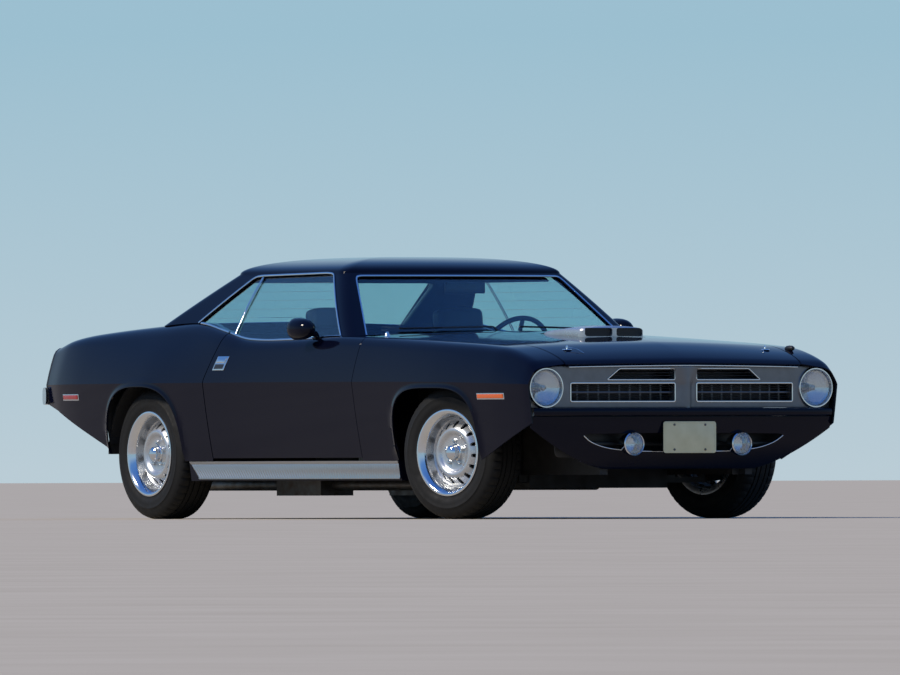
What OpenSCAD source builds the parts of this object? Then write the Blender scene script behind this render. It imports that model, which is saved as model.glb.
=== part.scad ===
// Two-door hardtop muscle car with a scoop that stands through the hood.
// Millimetres, +X forward, +Y left, +Z up, origin on the floor under the middle.

/* [Overall] */
// Front axle to the nose
front_overhang = 930; // [915:1:945]
// Distance between the axles
wheelbase = 2743; // [2720:1:2770]
// Rear axle to the tail
rear_overhang = 1069; // [1050:1:1090]
// Width over the rear body sides
width = 1897; // [1880:1:1920]
// Height of the roof crown above its rail
roof_crown = 85; // [70:1:100]

/* [Panels] */
// Thickness of the outer sheets
sheet_t = 8; // [6:0.5:9]
// Thickness of hood and lid with their inner frames
lid_t = 14; // [10:0.5:16]
// Gap round the moving panels
shut = 7; // [6:0.5:9]
// Gap between fixed panels
seam = 0.6; // [0.4:0.1:0.9]
// Thickness of the window glass
glass_t = 5; // [4:0.5:6]

/* [Doors] */
// Depth of the door from the crease to its inner face
door_depth = 145; // [135:1:150]
// Door hinge pin radius
door_pin_r = 4; // [3.5:0.25:4.5]
// Running clearance on every hinge pin
pin_clear = 0.1; // [0.05:0.05:0.2]

/* [Wheels] */
// Tyre outer diameter
tyre_d = 650; // [640:1:656]
// Tyre section width
tyre_w = 225; // [210:1:230]
// Rim seat diameter
rim_d = 381; // [381:1:384]
// Front track
front_track = 1516; // [1500:1:1530]
// Rear track
rear_track = 1542; // [1530:1:1556]
// Wheel spindle radius
spindle_r = 20; // [18:0.5:22]
// Slots round each wheel disc
slot_count = 15; // [12:1:15]
// Angle the front wheels stand at, turned to the left
steer_rest = 13; // [0:1:16]

/* [Grille] */
// Bars in each grille opening
grille_bars = 3; // [2:1:4]
// Louvres above each grille opening
louvres = 3; // [2:1:4]
// Headlamp lens diameter
lamp_d = 176; // [168:1:178]

/* [Hidden] */
$fn = 64;
length = front_overhang + wheelbase + rear_overhang;
half = width / 2;
reach = half + 60;
x_nose = length / 2;
x_tail = -length / 2;
x_fa = x_nose - front_overhang;
x_ra = x_fa - wheelbase;
// Hub height in the body's own frame, and how far the tyres lift that frame off the floor
hub_z = 325;
stand = tyre_d / 2 - hub_z;
y_fw = front_track / 2;
y_rw = rear_track / 2;

// Body side stations: x, draw-in from the half width, crease height, shoulder
// height, shoulder inset, tuck of the lower edge, inset of the top's inner edge, crown,
// width of the shoulder's rounding
mid_x = (x_ra + 902 + x_fa - 971) / 2;
SIDE = [
  [x_tail + 41, 98, 674, 862, 58, 60, 308, 14, 44],
  [x_tail + 221, 55, 675, 899, 76, 66, 302, 18, 50],
  [x_tail + 471, 27, 676, 926, 100, 72, 298, 20, 54],
  [x_ra, 0, 677, 962, 133, 80, 293, 22, 56],
  [x_ra + 362, 2, 677, 972, 128, 82, 243, 14, 44],
  [x_ra + 642, 8, 677, 930, 92, 84, 178, 10, 32],
  [x_ra + 902, 13, 677, 888, 72, 85, 166, 10, 28],
  [mid_x, 17, 677, 884, 66, 85, 166, 10, 28],
  [x_fa - 971, 18, 676, 897, 66, 85, 196, 20, 28],
  [x_fa - 701, 17, 675, 893, 66, 85, 230, 34, 40],
  [x_fa, 11, 671, 866, 66, 85, 236, 34, 50],
  [x_fa + 509, 24, 663, 838, 64, 80, 248, 28, 50],
  [x_fa + 659, 33, 659, 813, 60, 76, 254, 22, 46],
  [x_nose - 131, 46, 657, 768, 52, 70, 260, 14, 40],
  [x_nose - 81, 55, 655, 728, 44, 66, 264, 10, 34],
  [x_nose - 20, 70, 653, 676, 40, 66, 268, 8, 30],
];
function seg(t, x, i = 0) = (i >= len(t) - 2 || x < t[i + 1][0]) ? i : seg(t, x, i + 1);
function tangent(t, i, c) =
  let (a = t[max(i - 1, 0)], b = t[min(i + 1, len(t) - 1)]) (b[c] - a[c]) / (b[0] - a[0]);
function at(t, x, c) =
  let (i = seg(t, x), a = t[i], b = t[i + 1], h = b[0] - a[0], u = (x - a[0]) / h)
    a[c] * (1 + 2 * u) * (1 - u) ^ 2 + tangent(t, i, c) * h * u * (1 - u) ^ 2
    + b[c] * u * u * (3 - 2 * u) + tangent(t, i + 1, c) * h * u * u * (u - 1);

// The side of the body: half width at a height, the top over the shoulders, and section rows
low_z = 200;
function crease_y(x) = half - at(SIDE, x, 1);
function crease_z(x) = at(SIDE, x, 2);
function shoulder_z(x) = at(SIDE, x, 3);
function shoulder_y(x) = crease_y(x) - at(SIDE, x, 4);
function inner_y(x) = half - at(SIDE, x, 6);
function side_y(x, z) =
  let (zc = crease_z(x), u = (zc - z) / (zc - low_z), v = (z - zc) / (shoulder_z(x) - zc))
    crease_y(x) - (z < zc ? at(SIDE, x, 5) * (0.7 * u + 0.3 * u * u)
                          : at(SIDE, x, 4) * (0.7 * v + 0.3 * v * v));
nose_bow = 0.00009;
edge_y = half - 83.5;
function top_z(x, y) =
  let (xs = x > 300 ? x + nose_bow * (y * y - edge_y ^ 2) * min(1, (x - 300) / 600) : x,
       a = min(1, abs(y) / shoulder_y(xs)))
    shoulder_z(xs) + at(SIDE, xs, 7) * (0.35 * (1 - a) + 0.65 * (1 - a * a));
function bez(a, b, c, t) = a * (1 - t) ^ 2 + b * 2 * t * (1 - t) + c * t * t;
LOW_ROWS = [1, 0.75, 0.5, 0.25, 0];
UP_ROWS = [0.28, 0.56, 0.8];
function rows(x, zb, ye) =
  let (zc = crease_z(x), zs = shoulder_z(x), ys = shoulder_y(x), yr = max(ys - at(SIDE, x, 8), ye + 4),
       a = [side_y(x, zc + 0.8 * (zs - zc)), zc + 0.8 * (zs - zc)],
       b = [ys, zs], c = [yr, top_z(x, yr)])
    concat([for (s = LOW_ROWS) let (z = zc - (zc - zb) * s) [side_y(x, z), z]],
           [for (v = UP_ROWS) let (z = zc + (zs - zc) * v) [side_y(x, z), z]],
           [for (t = [0.33, 0.67, 1]) bez(a, b, c, t)],
           [for (t = [0.5, 1]) let (y = yr + (ye - yr) * t) [y, top_z(x, y)]]);
// A row of points moved inward by d along its own normals
function inward(r, d) = [for (k = [0:len(r) - 1])
  let (a = r[max(k - 1, 0)], b = r[min(k + 1, len(r) - 1)], t = (b - a) / norm(b - a))
    r[k] + d * [-t[1], t[0]]];
function on_side(x, r) = [for (p = r) [x, -p[0], p[1]]];
function flat(g) = [for (r = g) for (p = r) p];

// A closed sheet between an outer and an inner grid of points
module sheet(p, q) {
  m = len(p[0]);
  n = len(p);
  k = n * m;
  polyhedron(concat(flat(p), flat(q)), concat(
    [for (i = [0:n - 2], j = [0:m - 2]) each
      [[i * m + j, i * m + j + 1, i * m + m + j + 1], [i * m + j, i * m + m + j + 1, i * m + m + j]]],
    [for (i = [0:n - 2], j = [0:m - 2]) each
      [[k + i * m + j, k + i * m + m + j + 1, k + i * m + j + 1],
       [k + i * m + j, k + i * m + m + j, k + i * m + m + j + 1]]],
    [for (j = [0:m - 2]) each [[j + 1, j, k + j], [j + 1, k + j, k + j + 1]]],
    [for (j = [0:m - 2]) let (e = (n - 1) * m + j) each [[e, e + 1, k + e + 1], [e, k + e + 1, k + e]]],
    [for (i = [0:n - 2]) let (e = i * m) each [[e, e + m, k + e + m], [e, k + e + m, k + e]]],
    [for (i = [0:n - 2]) let (e = i * m + m - 1) each [[e + m, e, k + e], [e + m, k + e, k + e + m]]]));
}
// A solid through closed rings of points, capped at both ends
module loft(r) {
  m = len(r[0]);
  n = len(r);
  polyhedron(flat(r), concat(
    [for (i = [0:n - 2], j = [0:m - 1]) let (a = i * m + j, b = i * m + (j + 1) % m) each
      [[a, b, b + m], [a, b + m, a + m]]],
    [[for (j = [m - 1:-1:0]) j]], [[for (j = [0:m - 1]) (n - 1) * m + j]]));
}
// Shapes drawn in the XZ plane and given a depth along Y, and in YZ along X
module along_y(y0, y1) {
  translate([0, y1, 0]) rotate([90, 0, 0]) linear_extrude(y1 - y0) children();
}
module along_x(x0, x1) {
  translate([x0, 0, 0]) rotate([90, 0, 90]) linear_extrude(x1 - x0) children();
}
module box(x0, x1, y0, y1, z0, z1) {
  translate([x0, y0, z0]) cube([x1 - x0, y1 - y0, z1 - z0]);
}
module pair() {
  children();
  mirror([0, 1, 0]) children();
}

// Door place, hinge and shut lines
door_x1 = x_fa - 729;
door_x0 = x_ra + 622;
door_top_x0 = door_x0 + 68;
door_z0 = 302;
hinge_x = door_x1 - 60;
hinge_y = half - 78;
door_in = half - 17 - door_depth;
hinge_z = [440, 745];
sill_z0 = 190;
sill_z1 = 288;
sill_y = half - 178;

// Wheel openings: half width, height over the hub, squareness
ARCH = [[x_fa, 381, 316, 3.5], [x_ra, 360, 334, 2.8]];
module arch(a) {
  polygon(concat([[a[0] + a[1], -50]],
    [for (t = [0:7.5:180]) let (c = cos(t), s = sin(t))
      [a[0] + a[1] * sign(c) * abs(c) ^ (2 / a[3]), hub_z + a[2] * s ^ (2 / a[3])]],
    [[a[0] - a[1], -50]]));
}

module fender_sheet() {
  behind = [-721, -600, -480, -381, -300, -200, -100, 0];
  ahead = [100, 200, 300, 381, 480, 580, 680];
  x = concat([for (d = concat(behind, ahead)) x_fa + d], [for (d = [180, 131, 102, 81]) x_nose - d]);
  g = [for (u = x) rows(u, low_z + 20, inner_y(u))];
  sheet([for (i = [0:len(x) - 1]) on_side(x[i], g[i])],
        [for (i = [0:len(x) - 1]) on_side(x[i], inward(g[i], sheet_t))]);
}
// The swept room of the door's leading edge
module door_sweep() {
  translate([hinge_x, -hinge_y, 0]) rotate_extrude()
    polygon(concat([[0, 250]], [for (z = [250, 400, 550, 675, 740, 800, 860, 960])
      [norm([60, side_y(door_x1, min(z, 880)) - hinge_y]) + 5.6, z]], [[0, 960]]));
}
module fender() {
  difference() {
    intersection() {
      fender_sheet();
      along_y(-reach, -500) difference() {
        polygon([[door_x1 + shut + 0.5, sill_z1 + seam], [x_fa + 385, sill_z1 + seam],
                 [x_nose - 70, 470], [x_nose - 70, 1000], [door_x1 + shut + 0.5, 1000]]);
        arch(ARCH[0]);
      }
    }
    door_sweep();
  }
}
module fender_right() {
  color("#101114") fender();
}
module fender_left() {
  color("#101114") mirror([0, 1, 0]) fender();
}

QUARTER_X = [for (d = [-480, -360, -280, -190, -95, 0, 95, 190, 280, 362, 460, 560, 622, 692]) x_ra + d];
DOOR_X = concat([x_ra + 780], [for (t = [0:0.25:1]) (x_ra + 902) * (1 - t) + (x_fa - 971) * t]);
module quarter_sheet() {
  x = concat([x_tail + 41, x_tail + 110, x_tail + 221, x_tail + 340, x_tail + 471], QUARTER_X);
  g = [for (u = x) rows(u, low_z + 20, inner_y(u))];
  sheet([for (i = [0:len(x) - 1]) on_side(x[i], g[i])],
        [for (i = [0:len(x) - 1]) on_side(x[i], inward(g[i], sheet_t))]);
}
module quarter() {
  intersection() {
    quarter_sheet();
    along_y(-reach, -500) difference() {
      polygon([[door_x0 - shut, sill_z1 + seam], [door_x0 - shut, 690],
               [door_top_x0 - shut, 905], [door_top_x0 - shut + 4, 1100], [x_tail + 30, 1100],
               [x_tail + 30, 575], [x_tail + 170, 545], [x_ra - 300, 330], [x_ra - 300, sill_z1 + seam]]);
      arch(ARCH[1]);
    }
  }
}
module quarter_right() {
  color("#101114") quarter();
}
module quarter_left() {
  color("#101114") mirror([0, 1, 0]) quarter();
}

// Hood, cowl, deck: grids over the top surface between two curved edges, gap short of the inner edges
function edge(e, y) = e[0] - e[1] * y * y;
function patch(x0, x1, gap, us, dz) = [for (u = us) [for (v = ACROSS)
  let (side = half - 240, w = inner_y(edge(x0, side) * (1 - u) + edge(x1, side) * u) - gap, y = v * w)
  let (x = edge(x0, y) * (1 - u) + edge(x1, y) * u)
    [x, y, top_z(x, y) + dz]]];
ACROSS = [-1, -0.8, -0.6, -0.4, -0.2, 0, 0.2, 0.4, 0.6, 0.8, 1];
HOOD_U = [0, 0.15, 0.3, 0.5, 0.68, 0.8, 0.88, 0.94, 0.975, 1];
hood_rear = [x_fa - 773, 0.00008];
hood_front = [x_nose - 36, 0.00009];
scoop_x0 = x_fa - 245;
scoop_x1 = x_fa + 221;
scoop_w = 183;
hood_pivot = [x_fa - 885, 870];
hood_arm_y = half - 358.5;
hinge_pin_r = 6;
// Plan of the scoop grown by d: half an ellipse at the rear, round corners at the mouth
module scoop_outline(d) {
  rear = 120;
  r = 40;
  polygon(concat(
    [for (t = [90:9:270]) [scoop_x0 + rear + (rear + d) * cos(t), (scoop_w + d) * sin(t)]],
    [for (t = [270:15:360]) [scoop_x1 - r + (r + d) * cos(t), r - scoop_w + (r + d) * sin(t)]],
    [for (t = [0:15:90]) [scoop_x1 - r + (r + d) * cos(t), scoop_w - r + (r + d) * sin(t)]]));
}
module hood() {
  color("#101114") {
    difference() {
      sheet(patch(hood_rear, hood_front, shut, HOOD_U, 0),
            patch(hood_rear, hood_front, shut, HOOD_U, -lid_t));
      translate([0, 0, 600]) linear_extrude(500) scoop_outline(14);
    }
    for (s = [-1, 1]) difference() {
      along_y(s * hood_arm_y - 8, s * hood_arm_y + 8) difference() {
        union() {
          translate(hood_pivot) circle(14);
          translate(hood_pivot) polygon([[-14, 0], [-14, -66], [6, -84], [112, -84], [140, -60], [150, -20],
            [150, top_z(hood_pivot[0] + 150, hood_arm_y) - hood_pivot[1] - lid_t / 2],
            [118, top_z(hood_pivot[0] + 118, hood_arm_y) - hood_pivot[1] - lid_t / 2],
            [118, -20], [112, -44], [96, -60], [20, -60], [14, -52], [14, 0]]);
        }
        translate(hood_pivot) circle(hinge_pin_r + pin_clear);
      }
    }
  }
}
module cowl() {
  rear = [x_fa - 975, 0];
  front = [hood_rear[0] - shut - 4, hood_rear[1]];
  us = [0, 0.25, 0.5, 0.75, 1];
  color("#101114") {
    sheet(patch(rear, front, seam, us, -5), patch(rear, front, seam, us, -5 - sheet_t));
    along_x(x_fa - 921, x_fa - 906) difference() {
      polygon(concat([for (t = [-1:0.25:1]) let (y = t * (sill_y - seam))
        [y, top_z(x_fa - 913, y) - 5 - sheet_t / 2]], [[sill_y - seam, 240], [seam - sill_y, 240]]));
      translate([-150, 200]) square([300, 220]);
    }
    for (s = [-1, 1]) {
      along_y(s * (hood_arm_y + 22) - 6, s * (hood_arm_y + 22) + 6)
        polygon([[x_fa - 915, 800], [x_fa - 840, 840], [x_fa - 840, 882], [x_fa - 915, 890]]);
      translate([hood_pivot[0], s * (hood_arm_y + 5), hood_pivot[1]]) rotate([90, 0, 0])
        cylinder(r = hinge_pin_r, h = 34, center = true);
    }
    pair() {
      box(x_fa - 920, x_fa - 640, -sill_y + 1, -sill_y + 28, sill_z1 + seam, 868);
      box(hinge_x + 94, x_fa - 640, -half + 98, -sill_y + 28, sill_z1 + seam, 850);
      for (z = hinge_z) translate([0, 0, z - 6]) linear_extrude(12) difference() {
        union() {
          translate([hinge_x, -hinge_y]) circle(10);
          translate([hinge_x - 10, -hinge_y]) square([20, 71]);
          translate([hinge_x - 10, -hinge_y + 53]) square([110, 18]);
        }
        translate([hinge_x, -hinge_y]) circle(door_pin_r + pin_clear);
      }
    }
  }
}

// Doors: a thick solid with a skin flange that swings in behind the fender
module door() {
  xs = concat([door_x0 - 10, door_x0 + 60], DOOR_X,
    [hinge_x - 80, hinge_x - 19, hinge_x - 18.5, hinge_x + 20, door_x1]);
  outer = [for (x = xs) rows(x, door_z0, door_in + 20)];
  inner = [for (i = [0:len(xs) - 1]) xs[i] < hinge_x - 18.7 ? [for (q = outer[i]) [door_in, q[1]]]
    : inward(outer[i], 12)];
  difference() {
    union() {
      intersection() {
        sheet([for (i = [0:len(xs) - 1]) on_side(xs[i], outer[i])],
              [for (i = [0:len(xs) - 1]) on_side(xs[i], inner[i])]);
        along_y(-reach, -500) polygon([[door_x1, door_z0], [door_x1, 1000], [door_top_x0 + 5, 1000],
          [door_top_x0, 905], [door_x0, 690], [door_x0, door_z0 + 60], [door_x0 + 18, door_z0 + 18],
          [door_x0 + 60, door_z0]]);
      }
      for (z = hinge_z) box(hinge_x - 22, hinge_x + 10, -hinge_y - 10, -hinge_y + 10, z - 30, z + 30);
    }
    for (z = hinge_z) difference() {
      translate([hinge_x, -hinge_y, z - 12]) cylinder(r = 17, h = 24);
      translate([hinge_x, -hinge_y, z - 13]) cylinder(r = door_pin_r, h = 26);
    }
  }
}
module door_right() {
  color("#101114") door();
}
module door_left() {
  color("#101114") mirror([0, 1, 0]) door();
}

// Greenhouse: rings round the cabin from the belt to the roof rail, then over the roof
rail_z = 1215;
function gh_y(z) = let (v = (z - 888) / 337) half - 113.5 - 205 * (0.8 * v + 0.2 * v * v);
// Rake of the front and rear glass, as x over z, and how far each bows
front_rake = 1.311;
front_bow = 0.0002;
back_rake = 2;
back_bow = 0.00015;
function gh_front(y, z) = x_fa - 806 - front_rake * (z - 925) - front_bow * y * y;
function gh_back(y, z) = x_ra - 128 + back_rake * (z - 955) + back_bow * y * y;
// Half a ring, right side, from the front middle to the rear middle; insets for front, side, rear
function gh_half(z, o) =
  let (w = gh_y(z) - o[1], f = function (y) gh_front(y, z) - o[0], b = function (y) gh_back(y, z) + o[2],
       c = 46, fa = [f(w - c), w - c], fm = [f(w) + 8, w], fb = [f(w) - 60, w],
       ra = [b(w) + 70, w], rm = [b(w) - 6, w], rb = [b(w - c), w - c])
    concat([for (t = [0, 0.35, 0.7]) [f(t * (w - c)), t * (w - c)]],
           [for (t = [0, 0.33, 0.67, 1]) bez(fa, fm, fb, t)],
           [for (t = [0.25, 0.5, 0.75]) fb + (ra - fb) * t],
           [for (t = [0, 0.33, 0.67, 1]) bez(ra, rm, rb, t)],
           [for (t = [0.7, 0.35, 0]) [b(t * (w - c)), t * (w - c)]]);
function ring(h, z) =
  concat([for (p = h) [p[0], -p[1], z]], [for (i = [len(h) - 2:-1:1]) [h[i][0], h[i][1], z]]);
roof_mid = (gh_front(0, rail_z) + gh_back(0, rail_z)) / 2;
function roof_ring(s, o) = [for (p = gh_half(rail_z, o)) [roof_mid + (p[0] - roof_mid) * s, p[1] * s]];
module greenhouse(o, drop) {
  zs = [860, 925, 990, 1055, 1120, 1180, rail_z];
  loft(concat([for (z = zs) ring(gh_half(z - drop, o), z - drop)],
    [for (s = [0.985, 0.94, 0.86, 0.7, 0.45, 0.2])
      ring(roof_ring(s, o), rail_z - drop + roof_crown * sqrt(1 - s ^ 2.6))]));
}
module side_opening(d) {
  polygon([[x_ra + 350 + 1.8 * d, 978 - d * 0.2], [x_ra + 362 + 1.8 * d, 700], [x_fa - 955 - 1.5 * d, 700],
           [x_fa - 955 - 1.5 * d, 870], [x_fa - 1348 - d, 1196 - d], [x_fa - 1368 - d, 1208 - d],
           [x_fa - 1420, 1212 - d], [x_ra + 700, 1203 - d], [x_ra + 655 + d, 1196 - d]]);
}
module front_opening(d) {
  corners = [[373.5, 1196 - d], [356.5, 1184 - d], [210.5, 915], [210.5, 700]];
  right = [for (p = corners) [half - p[0] - d, p[1]]];
  polygon(concat(right, [for (i = [3:-1:0]) [-right[i][0], right[i][1]]]));
}
module rear_opening(d) {
  left = [[x_ra + 412 - d, half - 418.5 - d], [x_ra + 395 - d, half - 400.5 - d],
          [x_ra - 60 + d, half - 323.5 - d], [x_ra - 84 + d, half - 348.5 - d]];
  polygon(concat(left, [for (i = [3:-1:0]) [left[i][0], -left[i][1]]]));
}
// Everything below the top surface of the lower body
module lower_body(dz) {
  us = concat([x_ra - 560], QUARTER_X, DOOR_X, [x_fa - 850, x_fa - 701]);
  ys = [for (t = [-1, -0.93, -0.78, -0.55, -0.28, 0, 0.28, 0.55, 0.78, 0.93, 1]) t * (half - 48)];
  sheet([for (x = us) [for (y = ys) [x, y, top_z(x, y) + dz]]], [for (x = us) [for (y = ys) [x, y, 500]]]);
}
OUT = [0, 0, 0];
FRAME_IN = [62, 40, 90];
PANE_IN = [12, 9, 22];
module roof() {
  color("#101114") difference() {
    greenhouse(OUT, 0);
    greenhouse(FRAME_IN, 32);
    lower_body(seam + 0.5);
    intersection() {
      lower_body(shut);
      pair() box(door_x0, door_x1, -reach, -door_in + shut, 500, 1000);
    }
    pair() along_y(-reach, -450) side_opening(0);
    along_x(x_fa - 1300, x_fa) front_opening(0);
    translate([0, 0, 700]) linear_extrude(700) rear_opening(0);
  }
}
// Bowed glass through the point x, z on the middle line: straight up its rake, round across
module bowed_pane(x, z, rake, bow) {
  r = sqrt(1 + rake * rake) / (2 * bow);
  translate([x, 0, z]) rotate([0, -atan(rake), 0]) linear_extrude(900, center = true) intersection() {
    difference() {
      translate([-r, 0]) circle(r, $fn = 600);
      translate([-r, 0]) circle(r - glass_t, $fn = 600);
    }
    translate([-200, -half]) square([300, width]);
  }
}
// What lies above the body, seen from the front; x_at gives where the glass stands at each y
module above_body(x_at) {
  polygon(concat([for (t = [-1:0.125:1]) let (y = t * (half - 208)) [y, top_z(x_at(y), y) + 1]],
    [[half - 208, 1300], [208 - half, 1300]]));
}
module windshield() {
  color("#8fb3bd") intersection() {
    bowed_pane(gh_front(0, 1050) - PANE_IN[0], 1050, front_rake, front_bow);
    along_x(x_fa - 1280, x_fa - 700) intersection() {
      front_opening(0.4);
      above_body(function (y) gh_front(y, 915) - PANE_IN[0]);
    }
  }
}
module rear_window() {
  z = 1050;
  color("#8fb3bd") intersection() {
    translate([gh_back(0, z) + PANE_IN[2], 0, z]) mirror([1, 0, 0]) bowed_pane(0, 0, back_rake, back_bow);
    translate([0, 0, 800]) linear_extrude(600) rear_opening(0.4);
    along_x(x_ra - 200, x_ra + 600) above_body(function (y) gh_back(y, 980) + PANE_IN[2]);
  }
}
// Side glass: one curved section for both windows, cut to the opening above the belt
divider_x = x_ra + 752;
module side_pane() {
  zs = [for (t = [0:0.125:1]) 870 + 340 * t];
  outer = [for (z = zs) [PANE_IN[1] - gh_y(z), z]];
  inner = [for (i = [len(zs) - 1:-1:0]) outer[i] + [glass_t * 1.2, 0]];
  intersection() {
    along_x(x_ra, x_fa) polygon(concat(outer, inner));
    along_y(-reach, -450) intersection() {
      children();
      polygon(concat([for (x = concat(QUARTER_X, DOOR_X, [x_fa - 850])) [x, top_z(x, half - 127) + 1.1]],
        [[x_fa - 850, 1300], [QUARTER_X[0], 1300]]));
    }
  }
}
module quarter_windows() {
  color("#8fb3bd") pair() side_pane() intersection() {
    side_opening(0.4);
    polygon([[x_ra, 800], [divider_x - 6, 800], [divider_x - 30, 1300], [x_ra, 1300]]);
  }
}
module door_glass() {
  side_pane() intersection() {
    side_opening(6);
    polygon([[divider_x + 6, 800], [x_fa, 800], [x_fa, 1300], [divider_x - 18, 1300]]);
  }
}
module door_glass_right() {
  color("#8fb3bd") door_glass();
}
module door_glass_left() {
  color("#8fb3bd") mirror([0, 1, 0]) door_glass();
}

// Deck: filler under the rear window, lid with its hinge arms, tail panel
deck_front = x_ra - 188;
lid_pivot = [deck_front + 108, 918];
lid_arm_y = half - 450.5;
deck_rear = x_tail + 62;
module deck_filler() {
  us = [0, 0.5, 1];
  rear = [deck_front + 12, 0];
  front = [deck_front + 130, 0];
  color("#101114") {
    sheet(patch(rear, front, seam, us, 0), patch(rear, front, seam, us, -sheet_t));
    for (s = [-1, 1]) {
      along_y(s * (lid_arm_y + 22) - 6, s * (lid_arm_y + 22) + 6)
        polygon([[lid_pivot[0] - 14, 904], [lid_pivot[0] + 14, 904],
                 [lid_pivot[0] + 14, top_z(lid_pivot[0] + 14, lid_arm_y) - sheet_t / 2],
                 [lid_pivot[0] - 20, top_z(lid_pivot[0] - 20, lid_arm_y) - sheet_t / 2]]);
      translate([lid_pivot[0], s * (lid_arm_y + 5), lid_pivot[1]]) rotate([90, 0, 0])
        cylinder(r = hinge_pin_r, h = 34, center = true);
    }
  }
}
module trunk_lid() {
  us = [0, 0.2, 0.4, 0.6, 0.8, 0.93, 1];
  rear = [deck_rear, 0];
  front = [deck_front, 0];
  color("#101114") {
    sheet(patch(rear, front, shut, us, 0), patch(rear, front, shut, us, -lid_t));
    for (s = [-1, 1]) along_y(s * lid_arm_y - 8, s * lid_arm_y + 8) difference() {
      union() {
        translate(lid_pivot) circle(14);
        translate(lid_pivot) polygon([[14, 0], [14, -66], [4, -78], [-110, -94], [-150, -70], [-168, 0],
          [-168, top_z(lid_pivot[0] - 168, lid_arm_y) - lid_pivot[1] - lid_t / 2],
          [-144, top_z(lid_pivot[0] - 144, lid_arm_y) - lid_pivot[1] - lid_t / 2],
          [-144, -5], [-132, -56], [-106, -70], [-14, -54], [-14, 0]]);
      }
      translate(lid_pivot) circle(hinge_pin_r + pin_clear);
    }
  }
}
tail_lamp_y = half - 338.5;
tail_lamp_z = 745;
tail_lamp_w = 380;
tail_lamp_h = 116;
module tail_panel() {
  r = rows(x_tail + 41, 575, 300);
  p = concat([for (q = r) [-q[0], q[1]]], [for (i = [len(r) - 1:-1:0]) [r[i][0], r[i][1]]]);
  color("#1b1c1f") difference() {
    along_x(x_tail + 24, x_tail + 41 - seam) polygon(p);
    for (s = [-1, 1]) along_x(x_tail, x_tail + 32)
      translate([s * tail_lamp_y, tail_lamp_z]) square([tail_lamp_w, tail_lamp_h], center = true);
  }
}
module tail_lamps() {
  color("#8c1218") for (s = [-1, 1]) along_x(x_tail + 16, x_tail + 32 - 0.4)
    translate([s * tail_lamp_y, tail_lamp_z]) square([tail_lamp_w - 1, tail_lamp_h - 1], center = true);
}
// Half width of both bumpers
end_y = half - 82.5;
module rear_bumper() {
  ends = [[-end_y, 23.4], [-end_y, 16], [18 - end_y, 9], [166 - end_y, 4], [-350, 1], [0, 0]];
  color("#c9ccd0") translate([0, 0, 574]) linear_extrude(88) polygon(concat(
    [for (e = ends) [x_tail + e[1], e[0]]], [for (i = [4:-1:0]) [x_tail + ends[i][1], -ends[i][0]]]));
}

// Nose: bumper blade, grille surround with lamp pockets, bars, valance with its opening
bow_r = 0.5 / nose_bow;
module bow(x) {
  translate([x - bow_r, 0]) circle(bow_r, $fn = 400);
}
blade_z0 = 500;
blade_z1 = 540;
lamp_y = half - 170.5;
lamp_z = 638;
pocket_r = lamp_d / 2 + 4;
module front_bumper() {
  color("#101114") translate([0, 0, blade_z0]) linear_extrude(blade_z1 - blade_z0) intersection() {
    difference() {
      bow(x_nose);
      bow(x_nose - 62);
    }
    translate([x_nose - 300, -end_y]) square([400, 2 * end_y]);
  }
}
face_x = x_nose - 61;
open_y = [62, half - 308.5];
open_z = [568, 661];
louvre_z = [675, 704];
module grille_surround() {
  r = inward(rows(x_nose - 105, blade_z1 + seam, inner_y(x_nose - 105)), sheet_t + seam);
  under_hood = 742;
  right = [for (q = r) if (q[1] < under_hood) [-q[0], q == r[0] ? blade_z1 + seam : q[1]]];
  left = [for (i = [len(right) - 1:-1:0]) [-right[i][0], right[i][1]]];
  color("#8d9094") difference() {
    intersection() {
      along_x(face_x - 130, face_x + 30) polygon(concat(right, left));
      linear_extrude(1000) union() {
        bow(face_x);
        translate([face_x - 20, 0]) polygon([[0, -46], [36, -16], [36, 16], [0, 46]]);
      }
    }
    pair() {
      box(face_x - 140, face_x + 40, -open_y[1], -open_y[0], open_z[0], open_z[1]);
      box(face_x - 140, face_x + 40, -open_y[1], -open_y[0], louvre_z[0], louvre_z[1]);
      translate([face_x - 140, -lamp_y, lamp_z]) rotate([0, 90, 0]) cylinder(r = pocket_r, h = 200);
    }
  }
}
module grille_bars() {
  n = grille_bars + 1;
  h = (open_z[1] - open_z[0]) / n;
  color("#5d6064") pair() {
    box(face_x - 128, face_x - 118, -open_y[1] + 0.5, -open_y[0] - 0.5, open_z[0] + 0.5, open_z[1] - 0.5);
    intersection() {
      union() {
        for (i = [1:grille_bars]) box(face_x - 119, face_x, -open_y[1] + 0.5, -open_y[0] - 0.5,
          open_z[0] + i * h - 4, open_z[0] + i * h + 4);
      }
      linear_extrude(1000) bow(face_x - 34);
    }
  }
}
module grille_louvres() {
  n = louvres + 1;
  h = (louvre_z[1] - louvre_z[0]) / n;
  color("#5d6064") pair() {
    box(face_x - 128, face_x - 118, -open_y[1] + 0.5, -open_y[0] - 0.5, louvre_z[0] + 0.5, louvre_z[1] - 0.5);
    intersection() {
      union() {
        for (i = [1:louvres]) box(face_x - 119, face_x, -open_y[1] + 0.5, -open_y[0] - 0.5,
          louvre_z[0] + i * h - 2, louvre_z[0] + i * h + 2);
      }
      linear_extrude(1000) bow(face_x - 22);
    }
  }
}
module headlamps() {
  color("#d8dde0") pair() translate([face_x - 120, -lamp_y, lamp_z]) rotate([0, 90, 0]) {
    cylinder(r = pocket_r - 0.4, h = 62);
    cylinder(r = lamp_d / 2, h = 50);
    intersection() {
      translate([0, 0, 79 - 300]) sphere(300);
      cylinder(r = lamp_d / 2 - 2, h = 100);
    }
  }
}
function valance_low(y) = 243 + 200 * (max(0, abs(y) - end_y + 446) / 446) ^ 1.5;
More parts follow.
